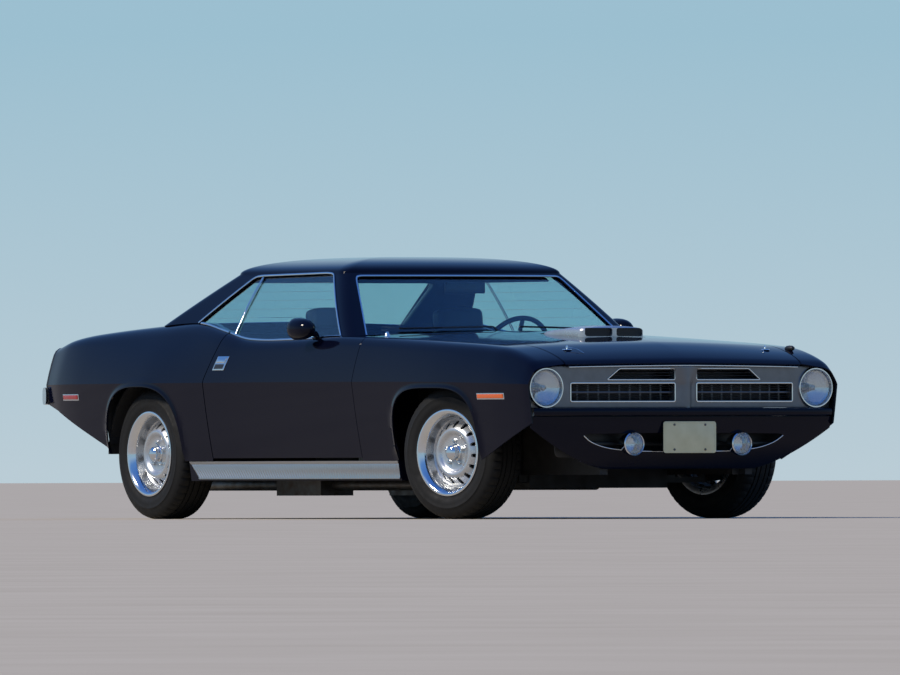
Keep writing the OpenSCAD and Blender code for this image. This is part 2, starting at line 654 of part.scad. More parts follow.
function valance_x(y, z) = x_nose - 26 - nose_bow * y * y - 95 * (max(0, blade_z0 - seam - z) / 256) ^ 1.3;
plate_z = 397;
plate_dy = 177.8;
plate_dz = 120.6;
module front_valance() {
  side = [1, 0.9, 0.79, 0.66, 0.52, 0.38, 0.23];
  w = end_y - 1.5;
  ys = concat([for (t = side) -t * w], [0], [for (i = [6:-1:0]) side[i] * w]);
  vs = [0, 0.2, 0.4, 0.6, 0.8, 1];
  function g(dx) = [for (v = vs) [for (y = ys)
    let (a = valance_low(y), z = a + (blade_z0 - seam - a) * v) [valance_x(y, z) - dx, y, z]]];
  color("#141518") {
    difference() {
      sheet(g(sheet_t + 2), g(0));
      along_x(x_nose - 300, x_nose) polygon([[-575, 405], [-530, 372], [-440, 344], [-300, 330], [0, 326],
        [300, 330], [440, 344], [530, 372], [575, 405], [560, 414], [0, 420], [-560, 414]]);
    }
    for (s = [-1, 1]) box(x_nose - 140, x_nose - 98, s * 592 - 12, s * 592 + 12, 352, 378);
    difference() {
      union() {
        box(x_nose - 32, x_nose - 26, -152, 152, plate_z - 77, plate_z + 77);
        box(x_nose - 40, x_nose - 30, -60, 60, plate_z + 60, blade_z0 - 4);
      }
      for (a = [-1, 1], b = [-1, 1]) translate([x_nose - 50, a * plate_dy / 2, plate_z + b * plate_dz / 2])
        rotate([0, 90, 0]) cylinder(r = 3.4, h = 60);
    }
  }
}
fog_y = 311;
fog_z = 365;
module fog_lamps() {
  color("#c9ccd0") {
    box(x_nose - 150, x_nose - 140.5, -602, 602, 355, 375);
    pair() translate([x_nose - 141, -fog_y, fog_z]) rotate([0, 90, 0]) {
      cylinder(r = 12, h = 70);
      translate([0, 0, 66]) cylinder(r1 = 30, r2 = 58, h = 26);
      translate([0, 0, 92]) cylinder(r = 58, h = 16);
    }
  }
}

// Sills with their ribbed trim
sill_x0 = x_ra + 366;
sill_x1 = x_fa - 386;
module sills() {
  color("#101114") pair() along_x(sill_x0, sill_x1)
    polygon([[-sill_y, sill_z0], [98 - half, sill_z0], [84 - half, sill_z1], [-sill_y, sill_z1]]);
}
module sill_trims() {
  color("#a9adb1") pair() intersection() {
    along_x(sill_x0 + 10, sill_x1)
      polygon([[96.4 - half, sill_z0 + 8], [90 - half, sill_z0 + 8], [78 - half, sill_z1 - 2],
               [83.8 - half, sill_z1 - 2]]);
    along_y(-reach, -500) polygon([[sill_x0 + 90, sill_z0], [sill_x1, sill_z0], [sill_x1, sill_z1],
      [sill_x0 + 14, sill_z1]]);
  }
}

// Floor with tunnel, kick-up, trunk floor, wheel houses, front rails and aprons
floor_z = 222;
deck_z = 540;
rail_y = 400;
axle_r = 38;
tub_y = y_rw - 145;
tub_r = ARCH[1][1] + 30;
tub_x = x_ra + tub_r;
module floor_pan() {
  w = sill_y - seam;
  color("#26282b") {
    along_x(tub_x - 12, x_fa - 922)
      polygon([[-w, 205], [-150, 205], [-150, 385], [150, 385], [150, 205], [w, 205], [w, floor_z],
               [165, floor_z], [165, 400], [-165, 400], [-165, floor_z], [-w, floor_z]]);
    difference() {
      box(tub_x - 12, tub_x, -w, w, 205, deck_z);
      box(tub_x - 50, tub_x + 50, -150, 150, 100, 385);
    }
    box(x_tail + 60, tub_x, -tub_y, tub_y, deck_z - 15, deck_z);
    box(x_ra + 282, x_ra + 294, -tub_y, tub_y, deck_z - 1, 852);
    box(x_ra - 60, x_ra + 294, -600, 600, 840, 852);
    pair() {
      difference() {
        along_y(-half + 68.5, -tub_y + 12) translate([x_ra, hub_z]) circle(tub_r);
        along_y(-half + 58, -tub_y) translate([x_ra, hub_z]) circle(tub_r - 12);
        box(x_ra - 500, x_ra + 500, -reach, -500, -100, hub_z);
        along_y(-reach, 0) translate([x_ra, hub_z]) circle(axle_r + 12);
      }
      box(x_fa - 906, x_nose - 150, -rail_y - 40, -rail_y, 215, 290);
      box(x_fa - 922, x_fa - 900, -rail_y - 40, -rail_y, 205, 238);
      box(x_fa - 890, x_nose - 200, -rail_y - 40, -rail_y - 28, 289, 720);
    }
  }
}
module radiator() {
  color("#1d1e20") {
    box(x_nose - 250, x_nose - 205, -rail_y + 0.4, rail_y - 0.4, 292, 700);
    for (s = [-1, 1]) box(x_nose - 250, x_nose - 205, s * 380 - 19.6, s * 380 + 19.6, 215, 295);
  }
}
module engine() {
  color("#c45a1c") {
    box(x_fa - 520, x_fa + 130, -230, 230, 262, 560);
    for (s = [-1, 1]) translate([x_fa - 480, s * 190, 560]) rotate([s * -35, 0, 0])
      translate([0, -75, -60]) cube([560, 150, 150]);
    box(x_fa - 440, x_fa + 60, -120, 120, 559, 700);
    translate([x_fa - 520, 0, 330]) rotate([0, -90, 0]) cylinder(r = 100, h = 360);
    translate([x_fa - 12, 0, 690]) cylinder(r = 120, h = 60);
    for (s = [-1, 1]) box(x_fa - 60, x_fa + 60, s * 300 - 75, s * 300 + 75, 300, 340);
  }
}
module shaker_scoop() {
  color("#a3a6a8") difference() {
    union() {
      translate([0, 0, 770]) linear_extrude(128) scoop_outline(-4);
      translate([x_fa - 12, 0, 750.4]) cylinder(r = 140, h = 40);
      intersection() {
        translate([0, 0, 897]) linear_extrude(60) scoop_outline(-4);
        along_y(-200, 200)
          polygon([[scoop_x0 - 60, 890], [scoop_x1, 890], [scoop_x1, 944], [scoop_x1 - 150, 946],
                   [scoop_x1 - 300, 932], [scoop_x0, 902]]);
      }
    }
    for (s = [-1, 1]) box(scoop_x1 - 70, scoop_x1 + 30, s * 88 - 66, s * 88 + 66, 898, 936);
  }
}

// Front suspension: crossmember and arms, knuckles on king pins
king = 115;
king_y = y_fw - king;
king_r = 12;
arm_z = [hub_z - 150, hub_z + 120];
module front_suspension() {
  color("#2a2b2e") {
    box(x_fa - 70, x_fa + 70, -rail_y + seam, rail_y - seam, 150, 250);
    for (s = [-1, 1]) box(x_fa - 50, x_fa + 50, s * 300 - 70, s * 300 + 70, 249, 299.5);
    pair() {
      difference() {
        union() {
          box(x_fa - 28, x_fa + 28, -king_y, -rail_y + 20, arm_z[0], arm_z[0] + 30);
          translate([x_fa, -king_y, arm_z[0]]) cylinder(r = 28, h = 30);
        }
        translate([x_fa, -king_y, 0]) cylinder(r = king_r + pin_clear, h = 400);
      }
      difference() {
        union() {
          box(x_fa - 28, x_fa + 28, -king_y, -rail_y - 40.5, arm_z[1], arm_z[1] + 30);
          translate([x_fa, -king_y, arm_z[1]]) cylinder(r = 28, h = 30);
          box(x_fa - 60, x_fa + 60, -rail_y - 52, -rail_y - 40.5, 292, arm_z[1] + 30);
          box(x_fa - 60, x_fa + 60, -rail_y - 52, -rail_y + 20, 180, 214.5);
          box(x_fa - 60, x_fa + 60, -rail_y - 52, -rail_y - 40.5, 200, 300);
        }
        translate([x_fa, -king_y, 300]) cylinder(r = king_r + pin_clear, h = 400);
      }
    }
  }
}
module steered(s) {
  translate([x_fa, s * king_y, hub_z]) rotate([0, 0, steer_rest]) children();
}
module knuckle() {
  a = arm_z[0] - hub_z;
  b = arm_z[1] - hub_z;
  translate([0, 0, a]) cylinder(r = king_r, h = b - a + 30);
  translate([0, 0, a + 31]) cylinder(r = 24, h = b - a - 32);
  rotate([90, 0, 0]) cylinder(r = spindle_r, h = king + 70);
  rotate([90, 0, 0]) translate([0, 0, 24]) cylinder(r = 46, h = 26);
  rotate([90, 0, 0]) translate([0, 0, 50]) cylinder(r = 140, h = 60);
}
module knuckle_right() {
  color("#3a3b3e") steered(-1) knuckle();
}
module knuckle_left() {
  color("#3a3b3e") steered(1) mirror([0, 1, 0]) knuckle();
}

// Rear axle on its leaf springs, with the propeller shaft
module rear_axle() {
  color("#2a2b2e") {
    translate([x_ra, 0, hub_z]) {
      rotate([90, 0, 0]) cylinder(r = axle_r, h = 2 * y_rw - 120, center = true);
      sphere(135);
      rotate([90, 0, 0]) cylinder(r = spindle_r, h = 2 * (y_rw + 70), center = true);
      for (s = [-1, 1]) translate([0, s * (y_rw - 35), 0]) rotate([90, 0, 0])
        cylinder(r = 145, h = 60, center = true);
      translate([100, 0, 0]) rotate([0, 90, 0]) cylinder(r = 38, h = x_fa - 881 - 0.5 - x_ra - 100);
    }
    for (s = [-1, 1]) along_y(s * 520 - 32, s * 520 + 32) {
      polygon(concat([for (t = [-1:0.125:1]) [x_ra - 140 + 500 * t, 250 + 70 * t * t]],
        [for (t = [1:-0.125:-1]) [x_ra - 140 + 500 * t, 276 + 70 * t * t]]));
      polygon([[x_ra - 60, 262], [x_ra + 60, 262], [x_ra + 60, 325], [x_ra - 60, 325]]);
      polygon([[x_ra - 650, 315], [x_ra - 610, 315], [x_ra - 600, 524.5], [x_ra - 670, 524.5]]);
      polygon([[x_ra + 335, 305], [x_ra + 377.5, 290], [x_ra + 377.5, 380], [x_ra + 335, 355]]);
    }
  }
}
module fuel_tank() {
  color("#55585b") box(x_ra - 900, x_ra - 480, -400, 400, 345, deck_z - 15.5);
}
module exhaust() {
  color("#6d6f71") for (s = [-1, 1]) {
    translate([x_fa - 480, s * 330, 168]) rotate([0, -90, 0]) cylinder(r = 28, h = 2900);
    box(x_ra + 480, x_ra + 900, s * 330 - 95, s * 330 + 95, 115, 204.4);
    box(x_fa - 500, x_fa - 440, s * 270 - 90, s * 270 + 90, 150, 261.5);
  }
}

// Cabin: dashboard, steering wheel, seats
module dashboard() {
  color("#17181a") along_y(70 - sill_y, sill_y - 70)
    polygon([[x_fa - 921.5, 640], [x_fa - 921.5, 850], [x_fa - 960, 868], [x_fa - 1080, 862],
             [x_fa - 1150, 815], [x_fa - 1130, 700], [x_fa - 1040, 640]]);
}
wheel_tilt = 24;
module steering_wheel() {
  color("#17181a") translate([x_fa - 1134, 380, 760]) rotate([0, -90 + wheel_tilt, 0]) {
    translate([0, 0, 24.5]) cylinder(r = 24, h = 180);
    translate([0, 0, 190]) {
      rotate_extrude() translate([185, 0]) circle(13);
      cylinder(r = 62, h = 30, center = true);
      for (a = [0, 120, 240]) rotate([0, 0, a + 90]) translate([0, -16, -5]) cube([180, 32, 10]);
    }
  }
}
seat_y = 370;
module front_seats() {
  color("#1a1a1c") for (s = [-1, 1]) along_y(s * seat_y - 185, s * seat_y + 185)
    polygon([[x_ra + 960, floor_z + 0.4], [x_ra + 1380, floor_z + 0.4], [x_ra + 1440, 470],
             [x_ra + 1400, 500], [x_ra + 1060, 465], [x_ra + 960, 930], [x_ra + 930, 1010],
             [x_ra + 880, 1010], [x_ra + 870, 930], [x_ra + 930, 480]]);
}
module rear_seat() {
  color("#1a1a1c") along_y(26 - tub_y, tub_y - 26)
    polygon([[x_ra + 294.4, deck_z + 0.4], [tub_x + 0.4, deck_z + 0.4], [tub_x + 0.4, 401],
             [x_ra + 800, 410], [x_ra + 830, 510], [x_ra + 800, 545], [x_ra + 540, 556],
             [x_ra + 400, 860], [x_ra + 294.4, 860]]);
}

// Mirrors on the doors
mirror_x = x_fa - 1250;
module side_mirror() {
  y = half - 106;
  foot = top_z(mirror_x + 60, y) + 0.5;
  translate([mirror_x, 20 - half, 938]) rotate([0, 90, 0]) cylinder(r1 = 54, r2 = 20, h = 150);
  translate([mirror_x + 60, -y, foot]) cylinder(r = 10, h = 926 - foot);
  translate([mirror_x + 50, 20 - half, 916]) cube([20, half - 20 - y + 8, 18]);
}
module mirror_right() {
  color("#101114") side_mirror();
}
module mirror_left() {
  color("#101114") mirror([0, 1, 0]) side_mirror();
}

// Wheels: rim and slotted disc in one revolve, tyre in another; outboard is +Y of the profile
rim_r = rim_d / 2 - 0.5;
lip_r = rim_r + 18;
bead = 97;
module wheel() {
  rotate([90, 0, 0]) difference() {
    rotate_extrude() polygon([[lip_r, -bead - 7], [lip_r, -bead - 0.4], [rim_r, -bead - 0.4], [rim_r, -72],
      [179, -60], [179, 60], [rim_r, 72], [rim_r, bead + 0.4], [lip_r, bead + 0.4], [lip_r, bead + 7],
      [196, bead + 7], [182, 90], [171, 64], [164, 57], [150, 64], [134, 73], [114, 66], [96, 56], [80, 58],
      [66, 66], [56, 72], [38, 74], [36, 92], [24, 99], [0, 99], [0, 73], [spindle_r + pin_clear, 73],
      [spindle_r + pin_clear, 22], [62, 22], [64, 46], [96, 46], [114, 56], [134, 63], [150, 54], [164, 46],
      [171, 36], [171, -60], [182, -72], [182, -bead], [196, -bead - 7]]);
    for (i = [0:slot_count - 1]) rotate([0, 0, i * 360 / slot_count]) {
      translate([122, -9, 30]) cube([26, 18, 60]);
      for (r = [122, 148]) translate([r, 0, 30]) cylinder(r = 9, h = 60);
    }
  }
}
module tyre() {
  r = tyre_d / 2;
  w = tyre_w / 2;
  b = rim_d / 2;
  half_profile = [[b, bead - 22], [b, bead], [b + 19.5, bead], [b + 27, bead + 3], [b + 62, w],
    [r - 46, w - 6], [r - 22, w - 13], [r - 8, w - 24], [r, w - 44]];
  hollow = [[b + 22, bead - 18], [b + 62, w - 16], [r - 46, w - 22], [r - 24, w - 36]];
  n = len(half_profile);
  k = len(hollow);
  rotate([90, 0, 0]) rotate_extrude() polygon(concat(half_profile,
    [for (i = [n - 1:-1:0]) [half_profile[i][0], -half_profile[i][1]]],
    [for (i = [0:k - 1]) [hollow[i][0], -hollow[i][1]]], [for (i = [k - 1:-1:0]) hollow[i]]));
}
module front_place(s) {
  steered(s) translate([0, s * king, 0]) scale([1, -s, 1]) children();
}
module rear_place(s) {
  translate([x_ra, s * y_rw, hub_z]) scale([1, -s, 1]) children();
}
module wheel_fr() {
  color("#b9bdc1") front_place(-1) wheel();
}
module wheel_fl() {
  color("#b9bdc1") front_place(1) wheel();
}
module wheel_rr() {
  color("#b9bdc1") rear_place(-1) wheel();
}
module wheel_rl() {
  color("#b9bdc1") rear_place(1) wheel();
}
module tyre_fr() {
  color("#17181a") front_place(-1) tyre();
}
module tyre_fl() {
  color("#17181a") front_place(1) tyre();
}
module tyre_rr() {
  color("#17181a") rear_place(-1) tyre();
}
module tyre_rl() {
  color("#17181a") rear_place(1) tyre();
}

module on_floor() {
  translate([0, 0, stand]) children();
}
on_floor() fender_right();
on_floor() fender_left();
on_floor() quarter_right();
on_floor() quarter_left();
on_floor() hood();
on_floor() cowl();
on_floor() roof();
on_floor() deck_filler();
on_floor() trunk_lid();
on_floor() tail_panel();
on_floor() tail_lamps();
on_floor() rear_bumper();
on_floor() front_bumper();
on_floor() grille_surround();
on_floor() grille_bars();
on_floor() grille_louvres();
on_floor() headlamps();
on_floor() front_valance();
on_floor() fog_lamps();
on_floor() windshield();
on_floor() rear_window();
on_floor() quarter_windows();
on_floor() door_right();
on_floor() door_left();
on_floor() door_glass_right();
on_floor() door_glass_left();
on_floor() mirror_right();
on_floor() mirror_left();
on_floor() sills();
on_floor() sill_trims();
on_floor() floor_pan();
on_floor() radiator();
on_floor() engine();
on_floor() shaker_scoop();
on_floor() front_suspension();
on_floor() knuckle_right();
on_floor() knuckle_left();
on_floor() rear_axle();
on_floor() fuel_tank();
on_floor() exhaust();
on_floor() dashboard();
on_floor() steering_wheel();
on_floor() front_seats();
on_floor() rear_seat();
on_floor() wheel_fr();
on_floor() wheel_fl();
on_floor() wheel_rr();
on_floor() wheel_rl();
on_floor() tyre_fr();
on_floor() tyre_fl();
on_floor() tyre_rr();
on_floor() tyre_rl();
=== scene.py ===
# %% [markdown]
# # A black two-door muscle car
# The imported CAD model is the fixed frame: its bodies carry the joints. Each cell below lays a finished
# surface over one part of it, made from the same formulas that shaped the CAD panels.

# %% Load the frame
import math

import bmesh
import bpy
import numpy as np
from mathutils import Matrix, Vector


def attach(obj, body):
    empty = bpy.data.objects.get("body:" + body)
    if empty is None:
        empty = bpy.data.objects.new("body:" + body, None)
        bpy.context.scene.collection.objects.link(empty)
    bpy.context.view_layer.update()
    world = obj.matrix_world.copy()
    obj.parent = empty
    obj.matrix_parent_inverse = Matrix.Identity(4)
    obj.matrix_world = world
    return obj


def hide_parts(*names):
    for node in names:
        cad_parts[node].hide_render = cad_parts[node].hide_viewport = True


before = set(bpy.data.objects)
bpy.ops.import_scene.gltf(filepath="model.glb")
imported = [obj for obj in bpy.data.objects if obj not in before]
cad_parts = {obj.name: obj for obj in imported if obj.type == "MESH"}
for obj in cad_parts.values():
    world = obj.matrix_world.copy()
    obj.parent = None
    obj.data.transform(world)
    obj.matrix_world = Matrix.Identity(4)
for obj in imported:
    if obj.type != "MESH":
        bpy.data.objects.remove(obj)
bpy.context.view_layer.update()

# %% [markdown]
# ## Sizes
# A car's body side is drawn as a row of stations from tail to nose. It could be traced as one long list
# of points, but a short table with one row a station keeps each size in one place. All lengths are
# millimetres and are divided by 1000 when a mesh is made. The names match the CAD source.

# %% Sizes shared with the CAD
LENGTH, WIDTH, WHEELBASE, FRONT_OVERHANG = 4742.0, 1897.0, 2743.0, 930.0
HALF = WIDTH / 2
X_NOSE, X_TAIL = LENGTH / 2, -LENGTH / 2
X_FA = X_NOSE - FRONT_OVERHANG
X_RA = X_FA - WHEELBASE
TYRE_R = 325.0
HUB_Z = TYRE_R
FRONT_TRACK, REAR_TRACK, KING = 1516.0, 1542.0, 115.0
STEER_REST = math.radians(13.0)
RAIL_Z, ROOF_CROWN = 1215.0, 85.0
DOOR_X1, DOOR_X0 = X_FA - 729, X_RA + 622
SILL_Z1, LOW_Z = 288.0, 200.0
NOSE_BOW = 0.00009

# Columns of the side table, after x itself
DRAW, CREASE, SHOULDER, INSET, TUCK, INNER, CROWN, ROUNDING = range(1, 9)
# x, draw-in, crease z, shoulder z, shoulder inset, tuck, inner edge, crown, rounding
SIDE = np.array([
    [X_TAIL + 41, 98, 674, 862, 58, 60, 640, 14, 44],
    [X_TAIL + 221, 55, 675, 899, 76, 66, 646, 18, 50],
    [X_TAIL + 471, 27, 676, 926, 100, 72, 650, 20, 54],
    [X_RA, 0, 677, 962, 133, 80, 655, 22, 56],
    [X_RA + 362, 2, 677, 972, 128, 82, 705, 14, 44],
    [X_RA + 642, 8, 677, 930, 92, 84, 770, 10, 32],
    [X_RA + 902, 13, 677, 888, 72, 85, 782, 10, 28],
    [X_RA + 1302, 17, 677, 884, 66, 85, 782, 10, 28],
    [X_FA - 971, 18, 676, 897, 66, 85, 752, 20, 28],
    [X_FA - 701, 17, 675, 893, 66, 85, 718, 34, 40],
    [X_FA, 11, 671, 866, 66, 85, 712, 34, 50],
    [X_FA + 509, 24, 663, 838, 64, 80, 700, 28, 50],
    [X_FA + 659, 33, 659, 813, 60, 76, 694, 22, 46],
    [X_NOSE - 131, 46, 657, 768, 52, 70, 688, 14, 40],
    [X_NOSE - 81, 55, 655, 728, 44, 66, 684, 10, 34],
    [X_NOSE - 20, 70, 653, 676, 40, 66, 680, 8, 30],
])
SLOPE = np.empty_like(SIDE)
for i in range(len(SIDE)):
    a, b = SIDE[max(i - 1, 0)], SIDE[min(i + 1, len(SIDE) - 1)]
    SLOPE[i] = (b - a) / (b[0] - a[0])
print("length", LENGTH, "wheelbase", WHEELBASE, "stations", len(SIDE))

# %% [markdown]
# Between stations the sheet metal is smooth, so each column of the table is read by cubic pieces. A
# lofted network of curves would do the same. Formulas are used because every panel, strip and lamp can
# ask them where the surface is.

# %% The outer surface
def at(x, c):
    """Column c of the side table at x, by cubic pieces."""
    x = np.asarray(x, float)
    i = np.clip(np.searchsorted(SIDE[:, 0], x, side="right") - 1, 0, len(SIDE) - 2)
    h = SIDE[i + 1, 0] - SIDE[i, 0]
    u = (x - SIDE[i, 0]) / h
    return (SIDE[i, c] * (1 + 2 * u) * (1 - u) ** 2 + SLOPE[i, c] * h * u * (1 - u) ** 2
            + SIDE[i + 1, c] * u * u * (3 - 2 * u) + SLOPE[i + 1, c] * h * u * u * (u - 1))


def crease_y(x):
    return HALF - at(x, DRAW)


def shoulder_y(x):
    return crease_y(x) - at(x, INSET)


def side_y(x, z):
    """Half width of the body side at x and height z."""
    zc = at(x, CREASE)
    u = (zc - z) / (zc - LOW_Z)
    v = (z - zc) / (at(x, SHOULDER) - zc)
    tucked = at(x, TUCK) * (0.7 * u + 0.3 * u * u)
    leaned = at(x, INSET) * (0.7 * v + 0.3 * v * v)
    return crease_y(x) - np.where(z < zc, tucked, leaned)


def top_z(x, y):
    """Height of hood, cowl and deck over the shoulders."""
    x = np.asarray(x, float)
    xs = np.where(x > 300, x + NOSE_BOW * (y * y - 748225) * np.clip((x - 300) / 600, 0, 1), x)
    a = np.minimum(1, np.abs(y) / shoulder_y(xs))
    return at(xs, SHOULDER) + at(xs, CROWN) * (0.35 * (1 - a) + 0.65 * (1 - a * a))


print("half width at the rear axle:", round(float(crease_y(X_RA)), 1))

# %% [markdown]
# ## Finishes
# A finish starts from what the real surface is and how it was made. The plain values sit on the
# shader's own sockets. The fine detail, such as orange peel in paint, grain in vinyl or brushing in
# aluminium, comes from noise on Object coordinates, so it stays with the piece when a door swings.
# Pattern sizes are given in millimetres.

# %% Finishes: helpers
MATS = {}


def srgb(hexa):
    """A hex colour as linear RGBA."""
    c = [int(hexa[i:i + 2], 16) / 255 for i in (1, 3, 5)]
    return [v / 12.92 if v <= 0.04045 else ((v + 0.055) / 1.055) ** 2.4 for v in c] + [1.0]


def node(m, kind, inputs=None, **settings):
    """Adds one shader node: an input that is given a socket is linked, and any other is set."""
    n = m.node_tree.nodes.new("ShaderNode" + kind)
    for k, v in settings.items():
        setattr(n, k, v)
    for k, v in (inputs or {}).items():
        if isinstance(v, bpy.types.NodeSocket):
            m.node_tree.links.new(v, n.inputs[k])
        else:
            n.inputs[k].default_value = v
    return n


def material(name, colour, **sockets):
    """A Principled material with its plain sockets set by name."""
    m = bpy.data.materials.new(name)
    m.use_nodes = True
    p = m.node_tree.nodes["Principled BSDF"]
    p.inputs["Base Color"].default_value = srgb(colour)
    for k, v in sockets.items():
        p.inputs[k.replace("_", " ")].default_value = v
    m.diffuse_color = srgb(colour)
    MATS[name] = m
    return m


def surfaced(m, grain, rough, bump=0.0, tint=None, stretch=(1, 1, 1), patch=60.0):
    """Fine detail: grain, patch and bump sizes in mm, a span of roughness and a second colour."""
    p, links = m.node_tree.nodes["Principled BSDF"], m.node_tree.links
    place = node(m, "TexCoord")
    turn = node(m, "Mapping", {"Vector": place.outputs["Object"], "Scale": stretch})
    broad = node(m, "TexNoise", {"Vector": turn.outputs[0], "Scale": 1000 / patch, "Detail": 4.0})
    span = node(m, "MapRange", {"Value": broad.outputs[0], "From Min": 0.3, "From Max": 0.7,
                                "To Min": rough[0], "To Max": rough[1]})
    links.new(span.outputs[0], p.inputs["Roughness"])
    if tint:
        ramp = node(m, "ValToRGB", {"Fac": broad.outputs[0]})
        first, last = ramp.color_ramp.elements
        first.position, first.color = 0.35, p.inputs["Base Color"].default_value[:]
        last.position, last.color = 0.75, srgb(tint)
        links.new(ramp.outputs[0], p.inputs["Base Color"])
    if bump:
        fine = node(m, "TexNoise", {"Vector": turn.outputs[0], "Scale": 1000 / grain, "Detail": 2.0})
        rise = node(m, "Bump", {"Height": fine.outputs[0], "Strength": 1.0, "Distance": bump / 1000})
        links.new(rise.outputs[0], p.inputs["Normal"])
    return m


def fluted(m, pitch, height, direction="Y"):
    """Moulded flutes in a lamp lens; a wave's period is 0.314 of its scale's unit."""
    place = node(m, "TexCoord")
    wave = node(m, "TexWave", {"Vector": place.outputs["Object"], "Scale": 314 / pitch},
                bands_direction=direction)
    rise = node(m, "Bump", {"Height": wave.outputs["Fac"], "Strength": 1.0, "Distance": height / 1000})
    m.node_tree.links.new(rise.outputs[0], m.node_tree.nodes["Principled BSDF"].inputs["Normal"])
    return m


print("finish helpers ready")

# %% [markdown]
# Black enamel is nearly all reflection: a very dark base with a navy tint that is a painted reflection of
# the blue sky, a smooth gloss and a trace of orange peel, the soft waviness that spraying leaves. Bright
# parts are plated or polished metal, which differ only in how sharp the reflection is. A thin film of road
# dust makes the roughness vary from place to place.

# %% Paints and bright metals
# Sprayed gloss enamel: deep black, with a navy base colour that is a painted reflection of the blue sky
PAINT = surfaced(material("black enamel with painted sky tint", "#070a1a", Specular_IOR_Level=0.16), 9, (0.03, 0.07), 0.006,
                 patch=420)
# Satin enamel: a soft sheen with no clear reflection
SATIN = surfaced(material("satin black enamel", "#101114"), 2, (0.38, 0.5), 0.02, "#17181b")
# Plated chrome: a sharp mirror, a little hazed by polish marks
CHROME = surfaced(material("chrome plate", "#d5d8db", Metallic=1.0), 40, (0.03, 0.1), 0.004, patch=90)
# Silver lacquer with aluminium flake: metallic grey with a fine sparkle
ARGENT = surfaced(material("argent flake lacquer", "#686b6f", Metallic=0.7), 1.6, (0.3, 0.42), 0.03,
                  "#74777b")
# Painted grille bars: dark grey, half dull
DARK = surfaced(material("dark grille enamel", "#4b4e52", Metallic=0.6), 2, (0.32, 0.46), 0.02, "#55585c")
# Silver wheel lacquer: brighter flake than the grille
RIM = surfaced(material("silver wheel lacquer", "#c3c6c9", Metallic=0.8), 1.4, (0.24, 0.34), 0.02, "#b4b7ba")
# Polished steel trim ring: spun, so the shine is a touch soft
RING = surfaced(material("polished steel ring", "#dadde0", Metallic=1.0), 3, (0.08, 0.17), 0.006)
# Brushed aluminium: fine lines that run along the car
ALU = surfaced(material("brushed aluminium", "#aeb1b3", Metallic=0.95), 2, (0.28, 0.4), 0.02, "#9da0a2",
               (0.05, 1, 1))
# Mild steel pipe and tank: grey, browned a little by heat
STEEL = surfaced(material("weathered steel", "#6d6e6f", Metallic=0.9), 5, (0.4, 0.6), 0.05, "#5f564d")
# Engine enamel: brushed-on orange with a low gloss
ENGINE = surfaced(material("orange engine enamel", "#b04d1d"), 4, (0.3, 0.45), 0.05, "#9a4118")
# Silvered mirror glass: a clean reflection
MIRROR = surfaced(material("mirror silver", "#dfe3e6", Metallic=1.0), 30, (0.01, 0.03), patch=70)
print("paints and metals:", len(MATS))

# %% [markdown]
# Rubber, vinyl and plastic are dark and dull, so their grain does the work: pebbles pressed into vinyl,
# the fine tooth of moulded plastic, the loops of carpet. Glass is one clear solid with a green-blue
# tint.

# %% Rubber, trim and glass
# Moulded tyre rubber: charcoal, dusted paler in patches
RUBBER = surfaced(material("tyre rubber", "#09090a", Specular_IOR_Level=0.3), 3, (0.6, 0.8), 0.08, "#0f0f0f",
                  patch=35)
# Pebbled vinyl: pressed grain, drawn at 3 mm so that it shows
VINYL = surfaced(material("pebbled black vinyl", "#131314"), 3, (0.42, 0.56), 0.25, "#1a1a1b")
# Moulded plastic: dull, with a fine tooth
PLASTIC = surfaced(material("moulded black plastic", "#111112"), 1.5, (0.36, 0.5), 0.04)
# Undercoat: sprayed thick, rough as orange skin
UNDER = surfaced(material("black undercoat", "#131314"), 7, (0.6, 0.8), 0.5, "#1c1a18")
# Loop carpet: soft black loops with no shine
CARPET = surfaced(material("loop carpet", "#0d0d0e"), 4, (0.9, 1.0), 1.2, "#151516")
# Stove enamel on the blank plate: cream, half gloss
CREAM = surfaced(material("cream stove enamel", "#cfc9a6"), 6, (0.26, 0.36), 0.02, "#c4bd98")
# Tinted float glass: clear, a little green-blue
GLASS = surfaced(material("tinted float glass", "#d2f0f0", IOR=1.5, Transmission_Weight=1.0), 9,
                 (0.0, 0.012), patch=150)
# Pressed lamp glass: upright flutes break up the bowl behind it
LENS = fluted(material("fluted lamp glass", "#eef3f5", Roughness=0.04, IOR=1.5, Transmission_Weight=0.95),
              11, 0.35)
# Moulded acrylic lenses: deep colour under fine flutes
RED = fluted(material("red acrylic lens", "#8f0d13", Roughness=0.14, Coat_Weight=0.6), 8, 0.5)
AMBER = fluted(material("amber acrylic lens", "#cf5a14", Roughness=0.14, Coat_Weight=0.6), 8, 0.5, "X")
print("finishes:", len(MATS))

# %% [markdown]
# ## Mesh helpers
# A pressed panel is a thin sheet with soft edges. It could be sculpted, or lofted from curves. Here it
# starts as a flat grid from `bmesh.ops.create_grid`, each vertex is placed by a formula, and the sheet
# then gets its thickness and its bevels. That way it comes out the same each time and follows the CAD.

# %% Mesh helpers
MADE = []
BODY = ("body", "body")


def finish_mesh(bm, name, mat, body, angle=30.0, replaces=()):
    """Turns a bmesh into an object that rides on a CAD body."""
    bmesh.ops.recalc_face_normals(bm, faces=bm.faces)
    mesh = bpy.data.meshes.new(name)
    bm.to_mesh(mesh)
    bm.free()
    mesh.materials.append(mat)
    for p in mesh.polygons:
        p.use_smooth = True
    mesh.set_sharp_from_angle(angle=math.radians(angle))
    obj = bpy.data.objects.new(name, mesh)
    bpy.context.collection.objects.link(obj)
    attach(obj, body)
    if replaces:
        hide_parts(*replaces)
    MADE.append(name)
    return obj


